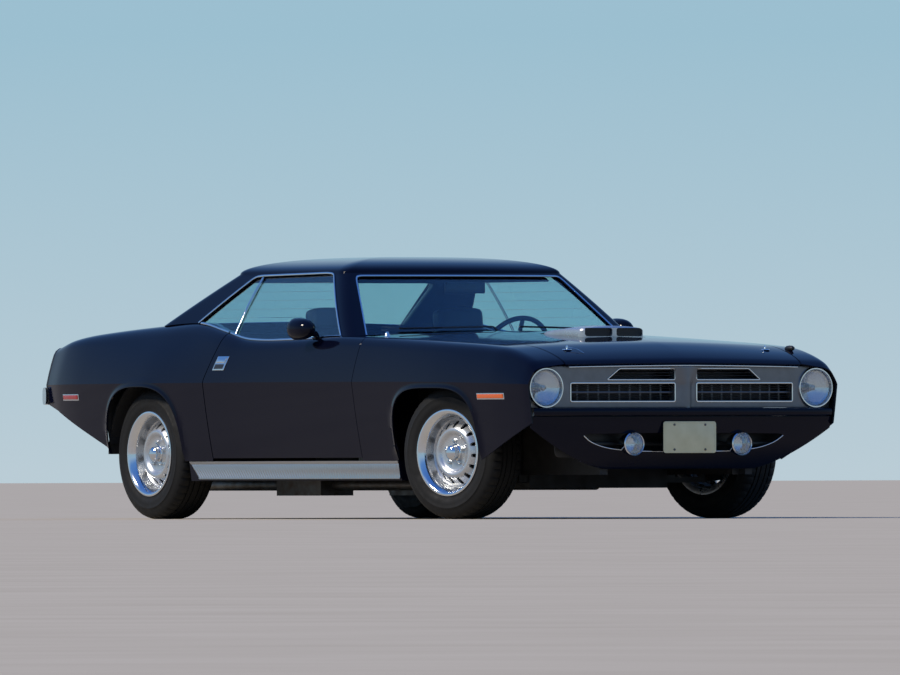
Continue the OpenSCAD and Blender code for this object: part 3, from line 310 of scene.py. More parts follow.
def grid(nu, nv, place):
    """A grid of nu by nv cells; place gives millimetres for arrays of column and row numbers."""
    bm = bmesh.new()
    bmesh.ops.create_grid(bm, x_segments=nu, y_segments=nv, size=1.0)
    uv = np.array([v.co[:2] for v in bm.verts])
    i = np.rint((uv[:, 0] + 1) / 2 * nu).astype(int)
    j = np.rint((uv[:, 1] + 1) / 2 * nv).astype(int)
    pts = place(i, j)
    for v, p in zip(bm.verts, pts):
        v.co = Vector(p) / 1000
    return bm


def thick(bm, t):
    """Gives an open sheet a thickness, inward for faces that look outward."""
    bmesh.ops.recalc_face_normals(bm, faces=bm.faces)
    bm.normal_update()
    bmesh.ops.solidify(bm, geom=bm.faces[:], thickness=t / 1000)
    return bm


def soften(bm, r, angle=55.0, segments=2):
    """Bevels every edge that turns by more than angle."""
    bm.normal_update()
    es = [e for e in bm.edges if len(e.link_faces) == 2 and e.calc_face_angle() > math.radians(angle)]
    bmesh.ops.bevel(bm, geom=es, offset=r / 1000, offset_type="OFFSET", segments=segments, profile=0.5,
                    affect="EDGES", clamp_overlap=True, material=-1)
    return bm


def flip_to(bm, side):
    """Turns an open sheet's faces to look along side."""
    bm.normal_update()
    s = sum((f.normal * f.calc_area() for f in bm.faces), Vector())
    if s.dot(Vector(side)) < 0:
        bmesh.ops.reverse_faces(bm, faces=bm.faces)
    return bm


def mirrored(bm):
    """The same piece on the other side of the car."""
    bmesh.ops.transform(bm, matrix=Matrix.Diagonal((1, -1, 1, 1)), verts=bm.verts)
    bmesh.ops.reverse_faces(bm, faces=bm.faces)
    return bm


def both(make, name, mat, bodies, replaces=None, angle=30.0):
    """Makes a piece for the right side and its mirror for the left."""
    for k, tag in enumerate(("right", "left")):
        bm = make()
        if k:
            mirrored(bm)
        finish_mesh(bm, f"{name}_{tag}", mat, bodies[k], angle, (replaces[k],) if replaces else ())


print("helpers ready")

# %% [markdown]
# Trim strips, frames and rails are one rolled section carried along a path. A curve object with a bevel
# could draw them, but a mesh keeps its place in its own vertices and closes cleanly at its ends.

# %% Paths and bars
def oval(w, h, n=12, power=3.0):
    """A rounded section w wide and h high, square as power grows."""
    t = np.linspace(0, math.tau, n, endpoint=False)
    c, s = np.cos(t), np.sin(t)

    def squared(v, size):
        return np.sign(v) * np.abs(v) ** (2 / power) * size / 2

    return np.stack([squared(c, w), squared(s, h)], 1)


def bend(p, q, r, t):
    """A curve from p to r that leans towards q."""
    return p * (1 - t) ** 2 + q * 2 * t * (1 - t) + r * t * t


def rounded(points, r, closed=False, n=5):
    """A path with its corners rounded off by r."""
    p = np.array(points, float)
    out = []
    for i in range(len(p)):
        if not closed and i in (0, len(p) - 1):
            out.append(p[i])
            continue
        a, b = p[i - 1] - p[i], p[(i + 1) % len(p)] - p[i]
        la, lb = np.linalg.norm(a), np.linalg.norm(b)
        start, end = p[i] + a / la * min(r, la * 0.45), p[i] + b / lb * min(r, lb * 0.45)
        out += [bend(start, p[i], end, t) for t in np.linspace(0, 1, n + 1)]
    return np.array(out)


def stepped(points, step, closed=False):
    """A path with more points, none further apart than step."""
    p = np.array(points, float)
    pairs = zip(p, np.roll(p, -1, 0)) if closed else zip(p[:-1], p[1:])
    out = []
    for a, b in pairs:
        k = max(1, int(np.ceil(np.linalg.norm(b - a) / step)))
        out += [a + (b - a) * t for t in np.arange(k) / k]
    return np.array(out if closed else out + [p[-1]])


def sweep(path, section, up=(0, 0, 1), closed=False):
    """A bar of a closed section along a path."""
    p = np.array(path, float)
    d = np.roll(p, -1, 0) - np.roll(p, 1, 0)
    if not closed:
        d[0], d[-1] = p[1] - p[0], p[-1] - p[-2]
    d /= np.linalg.norm(d, axis=1)[:, None]
    side = np.cross(d, np.array(up, float))
    side /= np.linalg.norm(side, axis=1)[:, None]
    top = np.cross(side, d)
    s, n = np.array(section), len(p)

    def place(i, j):
        i, j = i % n, j % len(s)
        return p[i] + side[i] * s[j, :1] + top[i] * s[j, 1:]

    bm = grid(n if closed else n - 1, len(s), place)
    bmesh.ops.remove_doubles(bm, verts=bm.verts, dist=1e-6)
    bmesh.ops.holes_fill(bm, edges=[e for e in bm.edges if e.is_boundary], sides=0)
    return bm


print("paths and bars ready")

# %% [markdown]
# Lamps, rims and caps are spun or turned, so each is a profile spun about an axis. Flat pieces and
# cutters are an outline extruded to a thickness. Both come from `bmesh` operators on a drawn profile,
# so that no ready-made shape has to be stretched to fit.

# %% Turned pieces and prisms
def lathe(profile, centre=(0, 0, 0), axis="X", steps=48):
    """Spins a profile of radius and height; along Y the height runs outward on the right side."""
    bm = bmesh.new()
    c = Vector(centre)
    along = {"X": Vector((1, 0, 0)), "Y": Vector((0, -1, 0)), "Z": Vector((0, 0, 1))}[axis]
    across = Vector((1, 0, 0)) if axis == "Z" else Vector((0, 0, 1))
    vs = [bm.verts.new((c + along * h + across * r) / 1000) for r, h in profile]
    es = [bm.edges.new(pair) for pair in zip(vs, vs[1:])]
    bmesh.ops.spin(bm, geom=vs + es, cent=c / 1000, axis=along, angle=math.tau, steps=steps, use_merge=True)
    bmesh.ops.remove_doubles(bm, verts=bm.verts, dist=1e-6)
    return bm


def joined(*parts):
    """Several meshes as one."""
    bm = bmesh.new()
    for part in parts:
        mesh = bpy.data.meshes.new("part")
        part.to_mesh(mesh)
        part.free()
        bm.from_mesh(mesh)
        bpy.data.meshes.remove(mesh)
    return bm


def moved(bm, matrix):
    """A mesh carried to another place."""
    bmesh.ops.transform(bm, matrix=matrix, verts=bm.verts)
    return bm


def prism(points, lo, hi, axis="Z"):
    """A closed prism through an outline; along Y the outline is x and z, along X it is y and z."""
    bm = bmesh.new()
    bmesh.ops.create_circle(bm, cap_ends=True, radius=1.0, segments=len(points))
    order = {
        "X": lambda a, b, c: (c, a, b),
        "Y": lambda a, b, c: (a, c, b),
        "Z": lambda a, b, c: (a, b, c),
    }[axis]
    bm.verts.ensure_lookup_table()
    for v, (a, b) in zip(bm.verts, points):
        v.co = Vector(order(a, b, lo)) / 1000
    new = bmesh.ops.extrude_face_region(bm, geom=bm.faces[:])["geom"]
    far = [g for g in new if isinstance(g, bmesh.types.BMVert)]
    bmesh.ops.translate(bm, verts=far, vec=Vector(order(0, 0, hi - lo)) / 1000)
    bmesh.ops.recalc_face_normals(bm, faces=bm.faces)
    return bm


print("turned pieces and prisms ready")

# %% [markdown]
# Openings are stamped out of a panel after it is formed. They could be left out of its grid, but a
# Boolean cut keeps the panel's curve unbroken right up to the rim. Parts that stay as the CAD made them
# only need a finish and smooth shading.

# %% Cutting and dressing
DRESSED = []


def cut(obj, *cutters, angle=30.0):
    """Cuts prisms out of an object and keeps the result as its mesh."""
    extra = []
    for bm in cutters:
        mesh = bpy.data.meshes.new("cutter")
        bm.to_mesh(mesh)
        bm.free()
        c = bpy.data.objects.new("cutter", mesh)
        bpy.context.collection.objects.link(c)
        m = obj.modifiers.new("cut", "BOOLEAN")
        m.operation, m.solver, m.object = "DIFFERENCE", "MANIFOLD", c
        extra.append(c)
    dg = bpy.context.evaluated_depsgraph_get()
    new = bpy.data.meshes.new_from_object(obj.evaluated_get(dg))
    obj.modifiers.clear()
    obj.data = new
    for p in new.polygons:
        p.use_smooth = True
    new.set_sharp_from_angle(angle=math.radians(angle))
    for c in extra:
        bpy.data.objects.remove(c)
    return obj


def dress(mat, *names):
    """Gives carried-over CAD nodes a finish."""
    for name in names:
        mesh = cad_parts[name].data
        mesh.materials.clear()
        mesh.materials.append(mat)
        for p in mesh.polygons:
            p.use_smooth = True
        mesh.set_sharp_from_angle(angle=math.radians(25))
        DRESSED.append(name)


print("cutting and dressing ready")

# %% [markdown]
# ## Body sides
# A section of the body side runs from the lower edge up to the crease, on to the shoulder, round it and
# in over the top. Sections drawn one by one would leave waves between them. Rows and columns from the
# table keep the crease and the shoulder as two clean lines.

# %% Body side sections
# Rows up to the crease, on to the shoulder, round it and over the top
NL, NU, NC, NT = 22, 12, 10, 6
ROWS = NL + NU + NC + NT
# Middle x, half length, height over the hub and squareness of each wheel opening
ARCH_F = (X_FA, 381.0, 316.0, 3.5)
ARCH_R = (X_RA, 360.0, 334.0, 2.8)


def section(x, j, zb, ye):
    """Half width and height at x on row j of the body side."""
    zc, zs, ys = at(x, CREASE), at(x, SHOULDER), shoulder_y(x)
    yr = np.maximum(ys - at(x, ROUNDING), ye + 4)
    z8 = zc + 0.8 * (zs - zc)
    y8, zr = side_y(x, z8), top_z(x, yr)
    zl = zc - (zc - zb) * (1 - j / NL)
    zu = zc + (zs - zc) * 0.8 * (j - NL) / NU
    t = (j - NL - NU) / NC
    yc, zk = bend(y8, ys, yr, t), bend(z8, zs, zr, t)
    yt = yr + (ye - yr) * (j - NL - NU - NC) / NT
    pick = [j <= NL, j <= NL + NU, j <= NL + NU + NC]
    y = np.select(pick, [side_y(x, zl), side_y(x, zu), yc], yt)
    z = np.select(pick, [zl, zu, zk], top_z(x, yt))
    return y, z


def arch_z(x, a):
    """Height of a wheel opening's edge at x."""
    u = np.clip(np.abs(x - a[0]) / a[1], 0, 1)
    return HUB_Z + a[2] * (1 - u ** a[3]) ** (1 / a[3])


def flare(x, z, a, size=9.0, reach=15.0):
    """How far the lip of a wheel opening stands out at a point."""
    r = ((np.abs(x - a[0]) / a[1]) ** a[3] + (np.maximum(z - HUB_Z, 0) / a[2]) ** a[3]) ** (1 / a[3])
    return size * np.exp(-((r - 1) * a[2] / reach) ** 2) * np.clip((z - 280) / 60, 0, 1)


def arch_columns(a, n=56):
    return a[0] + a[1] * np.sin(np.linspace(-math.pi / 2, math.pi / 2, n + 1))


def slant(z):
    """How far the rear shut line leans forward at a height."""
    return 68 * np.clip((z - 690) / 215, 0, 1.05)


print("rows in a section:", ROWS)

# %% [markdown]
# The front fender and the rear quarter are deep pressings with a wheel opening each. The opening could
# be cut afterwards. It is part of the grid instead: the columns end on the arch line, and the lip
# flares out a little, as a rolled edge does.

# %% Fenders and quarter panels
def fender_bm():
    before = np.linspace(DOOR_X1 + 5.5, X_FA - ARCH_F[1] - 0.5, 13)
    after = np.linspace(X_FA + ARCH_F[1] + 0.5, X_NOSE - 81, 26)
    xs = np.concatenate([before, arch_columns(ARCH_F), after])
    zb = np.concatenate([np.full(13, SILL_Z1 + 1), arch_z(arch_columns(ARCH_F), ARCH_F),
                         SILL_Z1 + (after - X_FA - 381) / (X_NOSE - 70 - X_FA - 381) * (470 - SILL_Z1)])

    def place(i, j):
        x = xs[i]
        y, z = section(x, j, zb[i], at(x, INNER))
        return np.stack([x, -(y + flare(x, z, ARCH_F)), z], 1)

    bm = flip_to(grid(len(xs) - 1, ROWS, place), (0, -1, 0))
    return soften(thick(bm, 7), 1.2)


def quarter_bm():
    behind = np.linspace(X_TAIL + 41, X_RA - ARCH_R[1] - 0.5, 26)
    ahead = np.linspace(X_RA + ARCH_R[1] + 0.5, DOOR_X0 - 5.5, 14)
    xs = np.concatenate([behind, arch_columns(ARCH_R), ahead])
    low = np.interp(behind, [X_TAIL + 30, X_TAIL + 170, X_RA - 300], [575, 545, 330])
    zb = np.concatenate([low, arch_z(arch_columns(ARCH_R), ARCH_R), np.full(14, SILL_Z1 + 1)])

    def place(i, j):
        x = xs[i]
        y, z = section(x, j, zb[i], at(x, INNER))
        x = x + slant(z) * np.clip((x - X_RA - 420) / (DOOR_X0 - 5.5 - X_RA - 420), 0, 1)
        y, z = section(x, j, zb[i], at(x, INNER))
        return np.stack([x, -(y + flare(x, z, ARCH_R)), z], 1)

    bm = flip_to(grid(len(xs) - 1, ROWS, place), (0, -1, 0))
    return soften(thick(bm, 7), 1.2)


both(fender_bm, "fender_skin", PAINT, BODY, ("fender_right", "fender_left"), 14)
both(quarter_bm, "quarter_skin", PAINT, BODY, ("quarter_right", "quarter_left"), 14)
print("sides:", MADE[-4:])

# %% [markdown]
# A door is an outer skin folded round a frame, with a padded trim panel inside. It could be cut from
# one long body side. It has its own grid on the same surface, because a shut line needs an even gap and
# the slanted rear edge is then a clean column of the grid.

# %% Doors
DOOR_IN, DOOR_Z0, HINGE_X = HALF - 17 - 145, 302.0, DOOR_X1 - 60
DOORS = ("door_right", "door_left")


def door_bm():
    xs = np.linspace(DOOR_X0, DOOR_X1 + 1.5, 61)

    def place(i, j):
        f = i / 60
        x = xs[i]
        y, z = section(x, j, DOOR_Z0 + 0 * x, DOOR_IN + 20 + 0 * x)
        x = x + slant(z) * (1 - f)
        y, z = section(x, j, DOOR_Z0 + 0 * x, DOOR_IN + 20 + 0 * x)
        return np.stack([x, -y, z], 1)

    bm = flip_to(grid(60, ROWS, place), (0, -1, 0))
    return soften(thick(bm, 11), 1.2)


def door_inner_bm():
    xs = [DOOR_X0 + 4, DOOR_X0 + 60, -300.0, 100.0, 400.0, HINGE_X - 20]

    def place(i, j):
        x = np.array(xs)[i]
        z = DOOR_Z0 + 4 + (870 - DOOR_Z0 - 4) * j / 12
        x = x + slant(z) * (i < 2)
        return np.stack([x, -(side_y(x, z) - 13), z], 1)

    bm = flip_to(grid(5, 12, place), (0, -1, 0))
    edges = [e for e in bm.edges if e.is_boundary]
    new = bmesh.ops.extrude_edge_only(bm, edges=edges)["geom"]
    for v in new:
        if isinstance(v, bmesh.types.BMVert):
            v.co.y = -DOOR_IN / 1000
    bmesh.ops.holes_fill(bm, edges=[e for e in bm.edges if e.is_boundary], sides=0)
    return soften(bm, 8, 50, 3)


both(door_bm, "door_skin", PAINT, DOORS, DOORS, 14)
both(door_inner_bm, "door_inner", VINYL, DOORS)
print("doors:", MADE[-4:])

# %% [markdown]
# ## Hood, deck lid and scoop
# The hood and the deck lid are pressed panels on one crowned surface with a faint ridge along the
# middle. They could be modelled apart, but one function makes both from two curved edges, so their
# crowns agree. The hole for the scoop is cut out of the hood.

# %% Hood and deck lid
HOOD_REAR, HOOD_FRONT = (X_FA - 773, 0.00008), (X_NOSE - 36, NOSE_BOW)
DECK_FRONT, DECK_REAR = (X_RA - 188, 0.0), (X_TAIL + 62, 0.0)
SCOOP_X0, SCOOP_X1, SCOOP_W = X_FA - 245, X_FA + 221, 183.0
SHUT_GAP, PANEL_T = 6.0, 13


def edge(e, y):
    """Where a panel's curved front or rear edge is at y."""
    return e[0] - e[1] * y * y


def patch_bm(x0, x1, gap, nu, nv, t):
    """A sheet on the top surface between two curved edges and the two inner edges of the sides."""
    side = HALF - 240

    def place(i, j):
        u = i / nu
        w = at(edge(x0, side) * (1 - u) + edge(x1, side) * u, INNER) - gap
        y = (2 * j / nv - 1) * w
        x = edge(x0, y) * (1 - u) + edge(x1, y) * u
        return np.stack([x, y, top_z(x, y)], 1)

    return soften(thick(flip_to(grid(nu, nv, place), (0, 0, 1)), t), 1.5)


def scoop_outline(d, n=20):
    """Plan of the scoop, grown by d: round at the rear, square at the mouth."""
    cx, r, q = SCOOP_X0 + 120, SCOOP_W + d, 40 + d
    rear = [(cx - (120 + d) * math.sin(t), r * math.cos(t)) for t in np.linspace(0, math.pi, n)]
    turn = np.linspace(0, math.pi / 2, 7)
    front = [(SCOOP_X1 - 40 + q * math.sin(t), -(SCOOP_W - 40) - q * math.cos(t)) for t in turn]
    return rear + front + [(x, -y) for x, y in reversed(front)]


hood_bm = patch_bm(HOOD_REAR, HOOD_FRONT, SHUT_GAP, 150, 96, PANEL_T)
hood = finish_mesh(hood_bm, "hood_skin", PAINT, "hood", 20, ("hood",))
cut(hood, prism(scoop_outline(13), 700, 1000), angle=20)
lid_bm = patch_bm(DECK_REAR, DECK_FRONT, SHUT_GAP, 70, 72, PANEL_T)
finish_mesh(lid_bm, "trunk_skin", PAINT, "trunk_lid", 20, ("trunk_lid",))
print("tops:", MADE[-2:], "hood faces:", len(hood.data.polygons))

# %% [markdown]
# The scoop is a shell bolted to the engine. It stands through the hood, so it stays with the body when
# the hood is raised. A bevelled box would look too hard. Rings of its plan that close towards the
# middle give the soft shoulder of a moulding, and its two mouths are cut in and filled almost to the
# rim with dark blocks that are painted shade for the hollow inside.

# %% Scoop
def scoop_top(x, y):
    """Height of the scoop's crowned top."""
    ridge = np.interp(x, [SCOOP_X0, X_FA - 125, X_FA + 60, SCOOP_X1], [902, 932, 946, 944])
    return ridge - 14 * (y / SCOOP_W) ** 2


def scoop_bm():
    rim = np.array(stepped(scoop_outline(0), 14, True))
    n1, n2, mid = 8, 14, np.array([X_FA - 10, 0.0])

    def place(i, j):
        p = rim[i % len(rim)]
        t = np.clip((j - n1) / n2, 0, 1)
        s = (1 - t ** 1.5)[:, None]
        p = mid + (p - mid) * s
        r = 10 - np.minimum(10, (1 - s[:, 0]) * 170)
        z = scoop_top(p[:, 0], p[:, 1]) - 10 + np.sqrt(100 - r * r)
        z = np.where(j < n1, 770 + (z - 770) * j / n1, z)
        return np.column_stack([p, z])

    bm = grid(len(rim), n1 + n2, place)
    bmesh.ops.remove_doubles(bm, verts=bm.verts, dist=1e-6)
    bmesh.ops.holes_fill(bm, edges=[e for e in bm.edges if e.is_boundary], sides=0)
    bmesh.ops.recalc_face_normals(bm, faces=bm.faces)
    return bm


def nostril(s, d, x0, x1):
    """One mouth of the scoop, shrunk by d."""
    w = 77 - d
    box = [(s * 89 - w, 893 + d), (s * 89 + w, 893 + d), (s * 89 + w, 934 - d), (s * 89 - w, 934 - d)]
    return prism(rounded(box, 14, True), x0, x1, "X")


scoop = finish_mesh(scoop_bm(), "scoop_shell", RIM, "body", 30, ("shaker_scoop",))
cut(scoop, *[nostril(s, 0, SCOOP_X1 - 70, SCOOP_X1 + 20) for s in (-1, 1)])
# Satin black blocks fill the mouths almost to the rim: painted shade for the hollow inside the scoop.
mouth_shade = joined(*[nostril(s, 0.4, SCOOP_X1 - 69, SCOOP_X1 - 14) for s in (-1, 1)])
finish_mesh(mouth_shade, "scoop_mouth_shade", SATIN, "body", 30)
print("scoop:", MADE[-2:], "faces:", len(scoop.data.polygons))

# %% [markdown]
# Each lid hangs on two bent steel arms that swing about a pin inside the body. They could be swept
# tubes, but the real ones are flat plate, so each is an outline extruded to its thickness. The ends
# take their height from the panel, so that they meet it.

# %% Hinge arms
def arm_bm(pivot, y, points):
    """A bent arm from its pin up to the panel's underside; heights of None are taken from the panel."""
    up = [(a, float(top_z(pivot[0] + a, y)) - pivot[1] - 6.5 if b is None else b) for a, b in points]
    return soften(prism([(pivot[0] + a, pivot[1] + b) for a, b in up], -y - 8, -y + 8, "Y"), 1.5)


HOOD_ARM = [(-14, 0), (-14, -66), (6, -84), (112, -84), (140, -60), (150, -20), (150, None), (118, None),
            (118, -20), (112, -44), (96, -60), (20, -60), (14, -52), (14, 0), (10, 10), (0, 14),
            (-10, 10)]
LID_ARM = [(14, 0), (14, -66), (4, -78), (-110, -94), (-150, -70), (-168, 0), (-168, None), (-144, None),
           (-144, -5), (-132, -56), (-106, -70), (-14, -54), (-14, 0), (-10, 10), (0, 14), (10, 10)]
HOOD_PIN, LID_PIN = (X_FA - 885, 870), (DECK_FRONT[0] + 108, 918)
HOODS, LIDS = ("hood", "hood"), ("trunk_lid", "trunk_lid")
both(lambda: arm_bm(HOOD_PIN, HALF - 358.5, HOOD_ARM), "hood_arm", SATIN, HOODS)
both(lambda: arm_bm(LID_PIN, HALF - 450.5, LID_ARM), "lid_arm", SATIN, LIDS)
print("arms:", MADE[-4:])

# %% [markdown]
# ## Cabin shell
# A hardtop's roof, pillars and rear sail panels are welded into one shell. They could be separate
# strips, but then the seams would show. Rings round the cabin rise from the belt to the roof rail and
# close over the crown, and the window openings are then cut out of the shell.

# %% Cabin shell
CORNER = 46.0


def gh_y(z):
    v = (z - 888) / 337
    return 835 - 205 * (0.8 * v + 0.2 * v * v)


def gh_front(y, z):
    return X_FA - 806 - 1.311 * (z - 925) - 0.0002 * y * y


def gh_back(y, z):
    return X_RA - 128 + 2 * (z - 955) + 0.00015 * y * y


def gh_ring(u, z):
    """Plan of the cabin at height z; u runs from 0 at the front middle to 1 at the rear middle."""
    w, c = gh_y(z), CORNER
    t1, t2, t3, t4, t5 = u / 0.26, (u - 0.26) / 0.1, (u - 0.36) / 0.3, (u - 0.66) / 0.1, (u - 0.76) / 0.24
    front, back = gh_front(w, z), gh_back(w, z)
    xa, xb, xr, xe = gh_front(w - c, z), front - 60, back + 70, gh_back(w - c, z)
    pick = [u <= 0.26, u <= 0.36, u <= 0.66, u <= 0.76]
    x = np.select(pick, [gh_front(t1 * (w - c), z), bend(xa, front + 8, xb, t2), xb + (xr - xb) * t3,
                         bend(xr, back - 6, xe, t4)], gh_back((1 - t5) * (w - c), z))
    y = np.select(pick, [t1 * (w - c), bend(w - c, w, w, t2), w, bend(w, w, w - c, t4)], (1 - t5) * (w - c))
    return x, y


ROOF_MID = float((gh_front(0, RAIL_Z) + gh_back(0, RAIL_Z)) / 2)


def roof_bm():
    nu, n1, n2 = 240, 26, 30

    def place(i, j):
        u = -1 + 2 * i / nu
        x, y = gh_ring(np.abs(u), 930.0 + 0 * u)
        for _ in range(3):
            zb = top_z(x, y) + 1.0
            x, y = gh_ring(np.abs(u), zb)
        z = zb + (RAIL_Z - zb) * np.minimum(j / n1, 1)
        x, y = gh_ring(np.abs(u), z)
        s = 1 - np.clip((j - n1) / n2, 0, 1) ** 1.6
        x, y = ROOF_MID + (x - ROOF_MID) * s, y * s
        z = z + ROOF_CROWN * np.sqrt(1 - s ** 2.6)
        return np.stack([x, -np.sign(u) * y, z], 1)

    bm = grid(nu, n1 + n2, place)
    bmesh.ops.remove_doubles(bm, verts=bm.verts, dist=1e-5)
    return thick(flip_to(bm, (0, 0, 1)), 30)


def side_outline(d=0.0):
    """The side window opening, shrunk by d."""
    return [(X_RA + 350 + 1.8 * d, 978), (X_RA + 362 + 1.8 * d, 700), (X_FA - 955 - 1.5 * d, 700),
            (X_FA - 955 - 1.5 * d, 870), (X_FA - 1348 - d, 1196 - d), (X_FA - 1368 - d, 1208 - d),
            (X_FA - 1420, 1212 - d), (X_RA + 700, 1203 - d), (X_RA + 655 + d, 1196 - d)]


FRONT_OPEN = [(-575, 1196), (575, 1196), (592, 1184), (738, 915), (738, 700), (-738, 700), (-738, 915),
              (-592, 1184)]
REAR_OPEN = [(X_RA + 412, -530), (X_RA + 412, 530), (X_RA + 395, 548), (X_RA - 60, 625), (X_RA - 84, 600),
             (X_RA - 84, -600), (X_RA - 60, -625), (X_RA + 395, -548)]
roof = finish_mesh(roof_bm(), "roof_skin", PAINT, "body", 25, ("roof",))
cut(roof, prism(side_outline(), -1000, -450, "Y"), prism(side_outline(), 450, 1000, "Y"),
    prism(FRONT_OPEN, X_FA - 1300, X_FA, "X"), prism(REAR_OPEN, 800, 1400), angle=25)
print("roof faces:", len(roof.data.polygons))

# %% [markdown]
# ## Window and belt mouldings
# Bright mouldings are roll-formed strips clipped on round the glass. They could be bevelled edges of
# the shell, but they are a metal of their own, so each is a thin section swept along its opening on the
# cabin surface.

# %% Window and belt mouldings
def on_side(points, out):
    """Points of x and z laid on the right side of the cabin."""
    p = np.array(points)
    return np.stack([p[:, 0], -(gh_y(p[:, 1]) + out), p[:, 1]], 1)


def drip_bm():
    o = side_outline(-5)
    path = stepped(rounded([o[3], o[4], o[5], o[6], o[7], o[8], o[0]], 26), 24)
    return sweep(on_side(path, 3), oval(10, 7), (0, -1, 0.4))


def divider_bm():
    z = np.linspace(906, 1200, 12)
    x = -558 - 24 * (z - 800) / 500
    return sweep(on_side(np.stack([x, z], 1), 1), oval(13, 6), (0, -1, 0.4))


def belt_bm(x0, x1):
    x = np.linspace(x0, x1, 34)
    z = top_z(x, 828) + 4
    return sweep(on_side(np.stack([x, z], 1), 5), oval(11, 9), (0, -1, 0.4))


both(drip_bm, "drip_moulding", CHROME, BODY)
both(divider_bm, "window_divider", CHROME, BODY)
both(lambda: belt_bm(-930, -620), "quarter_belt", CHROME, BODY)
both(lambda: belt_bm(-603, 462), "door_belt", CHROME, DOORS)
corners = [(-744, 905), (-598, 1190), (-580, 1202), (580, 1202), (598, 1190), (744, 905)]
path = stepped(rounded(corners, 30), 30)
front = np.stack([gh_front(path[:, 0], path[:, 1]) + 3, path[:, 0], path[:, 1]], 1)
finish_mesh(sweep(front, oval(9, 6), (1, 0, 0.7)), "windshield_moulding", CHROME, "body", 40)
corners = [(X_RA + 418, -536), (X_RA + 418, 536), (X_RA - 66, 634), (X_RA - 90, 604), (X_RA - 90, -604),
           (X_RA - 66, -634)]
path = stepped(rounded(corners, 26, True), 30, True)
z = 955 + (path[:, 0] - X_RA + 128 - 0.00015 * path[:, 1] ** 2) / 2
z = np.maximum(z + 3, top_z(path[:, 0], path[:, 1]) + 4)
rear = sweep(np.column_stack([path, z]), oval(12, 6), (-0.45, 0, 0.9), True)
finish_mesh(rear, "rear_window_moulding", CHROME, "body", 40)
print("mouldings:", MADE[-10:])

# %% [markdown]
# ## Nose
# The grille surround is one die-cast plate in silver lacquer with holes for the grilles, the upper
# louvres and two lamps. It could be built up from bars. A plate on the bowed face, cut by prisms, keeps
# the rims of the holes as sharp as in a casting.

# %% Grille surround
def face_x(y):
    """The bowed front face."""
    return X_NOSE - 61 - NOSE_BOW * y * y


LAMP_Y, LAMP_Z = 778.0, 638.0
MAIN = [(62, 571), (640, 571), (640, 661), (62, 661)]
UPPER = [(62, 677), (443, 677), (373, 731), (62, 731)]


def surround_bm():
    nu, nv = 150, 26

    def place(i, j):
        s, z = 2 * i / nu - 1, 541 + 201 * j / nv
        w = side_y(X_NOSE - 105, z) - 9 - 0.05 * np.maximum(0, z - 722) ** 2
        y = np.sign(s) * np.abs(s) ** 1.15 * w
        rise = 25 * np.exp(-(y / (27 + 36 * np.clip((z - 655) / 80, 0, 1))) ** 2)
        return np.stack([face_x(y) + rise, y, z], 1)

    return soften(thick(flip_to(grid(nu, nv, place), (1, 0, 0)), 55), 3)


def hole(points, s, r=9):
    return prism([(s * a, b) for a, b in rounded(points, r, True)], X_NOSE - 320, X_NOSE + 60, "X")


turn = np.linspace(0, math.tau, 56, endpoint=False)
ROUND = [(LAMP_Y + 90 * math.cos(t), LAMP_Z + 90 * math.sin(t)) for t in turn]
surround = finish_mesh(surround_bm(), "grille_plate", ARGENT, "body", 30, ("grille_surround",))
cut(surround, *[hole(o, s) for s in (-1, 1) for o in (MAIN, UPPER)], *[hole(ROUND, s, 0.1) for s in (-1, 1)])
print("surround faces:", len(surround.data.polygons))

# %% [markdown]
# Behind the plate lie thin painted bars and posts, slats in the upper openings, and a dark sheet across
# the back that is painted shade for the depth of the grille. Thin bright frames edge the holes. A flat
# pattern would drift away from the bowed face towards its ends, so each bar is swept along that face
# at one depth.

# %% Grille bars, louvres and frames
def bar(z, depth, y0, y1, w, h):
    y = np.linspace(y0, y1, 16)
    return sweep(np.stack([face_x(y) - depth, y, z + 0 * y], 1), oval(w, h, 8))


def post(y, depth, z0, z1, w, h):
    x = face_x(y) - depth
    return sweep([(x, y, z0), (x, y, (z0 + z1) / 2), (x, y, z1)], oval(w, h, 8), (0, 1, 0))


def frame_bm(points, size):
    p = stepped(rounded(points, 9, True), 20, True)
    return sweep(np.stack([face_x(p[:, 0]) + 1, p[:, 0], p[:, 1]], 1), oval(size, size, 8), (1, 0, 0), True)


def pair(make):
    """One mesh with a piece and its mirror."""
    return joined(make(), mirrored(make()))


def bars_bm():
    rows = [bar(z, 30, 58, 644, 13, 3.2) for z in (578, 588, 598, 634, 644, 654)]
    posts = [post(62 + 57.8 * k, 38, 568, 664, 3, 10) for k in range(1, 10)]
    return joined(*rows, *posts)


def louvre_bm():
    return joined(*[bar(z, 22, 58, 448 - 70 * (z - 677) / 54, 24, 4) for z in (683, 697, 711, 725)])


# A satin black sheet behind all the openings: painted shade for the depth of the grille.
back = prism([(-660, 556), (660, 556), (660, 738), (-660, 738)], X_NOSE - 178, X_NOSE - 170, "X")
finish_mesh(soften(back, 2), "grille_painted_shade", SATIN, "body", 40)
finish_mesh(pair(bars_bm), "grille_bar_set", DARK, "body", 40, ("grille_bars",))
finish_mesh(pair(louvre_bm), "grille_louvre_set", ARGENT, "body", 40, ("grille_louvres",))
finish_mesh(pair(lambda: bar(616, 24, 58, 644, 16, 9)), "grille_mid_bars", ARGENT, "body", 40)
finish_mesh(pair(lambda: frame_bm(MAIN, 7)), "grille_frames", CHROME, "body", 40)
finish_mesh(pair(lambda: frame_bm(UPPER, 5)), "louvre_frames", CHROME, "body", 40)
lip = np.linspace(-660, 660, 50)
lip = np.stack([face_x(lip) + 20, lip, top_z(face_x(lip) + 20, lip) - 18], 1)
finish_mesh(sweep(lip, oval(10, 6)), "hood_lip", CHROME, "body", 40)
print("grille:", MADE[-7:])

# %% [markdown]
# A sealed-beam lamp is a fluted glass over a silvered bowl, held by a bright ring. The two round
# driving lamps under the bumper are a plated shell with a glass. All are round, so they are turned from
# a profile, with one row of a table for each piece.

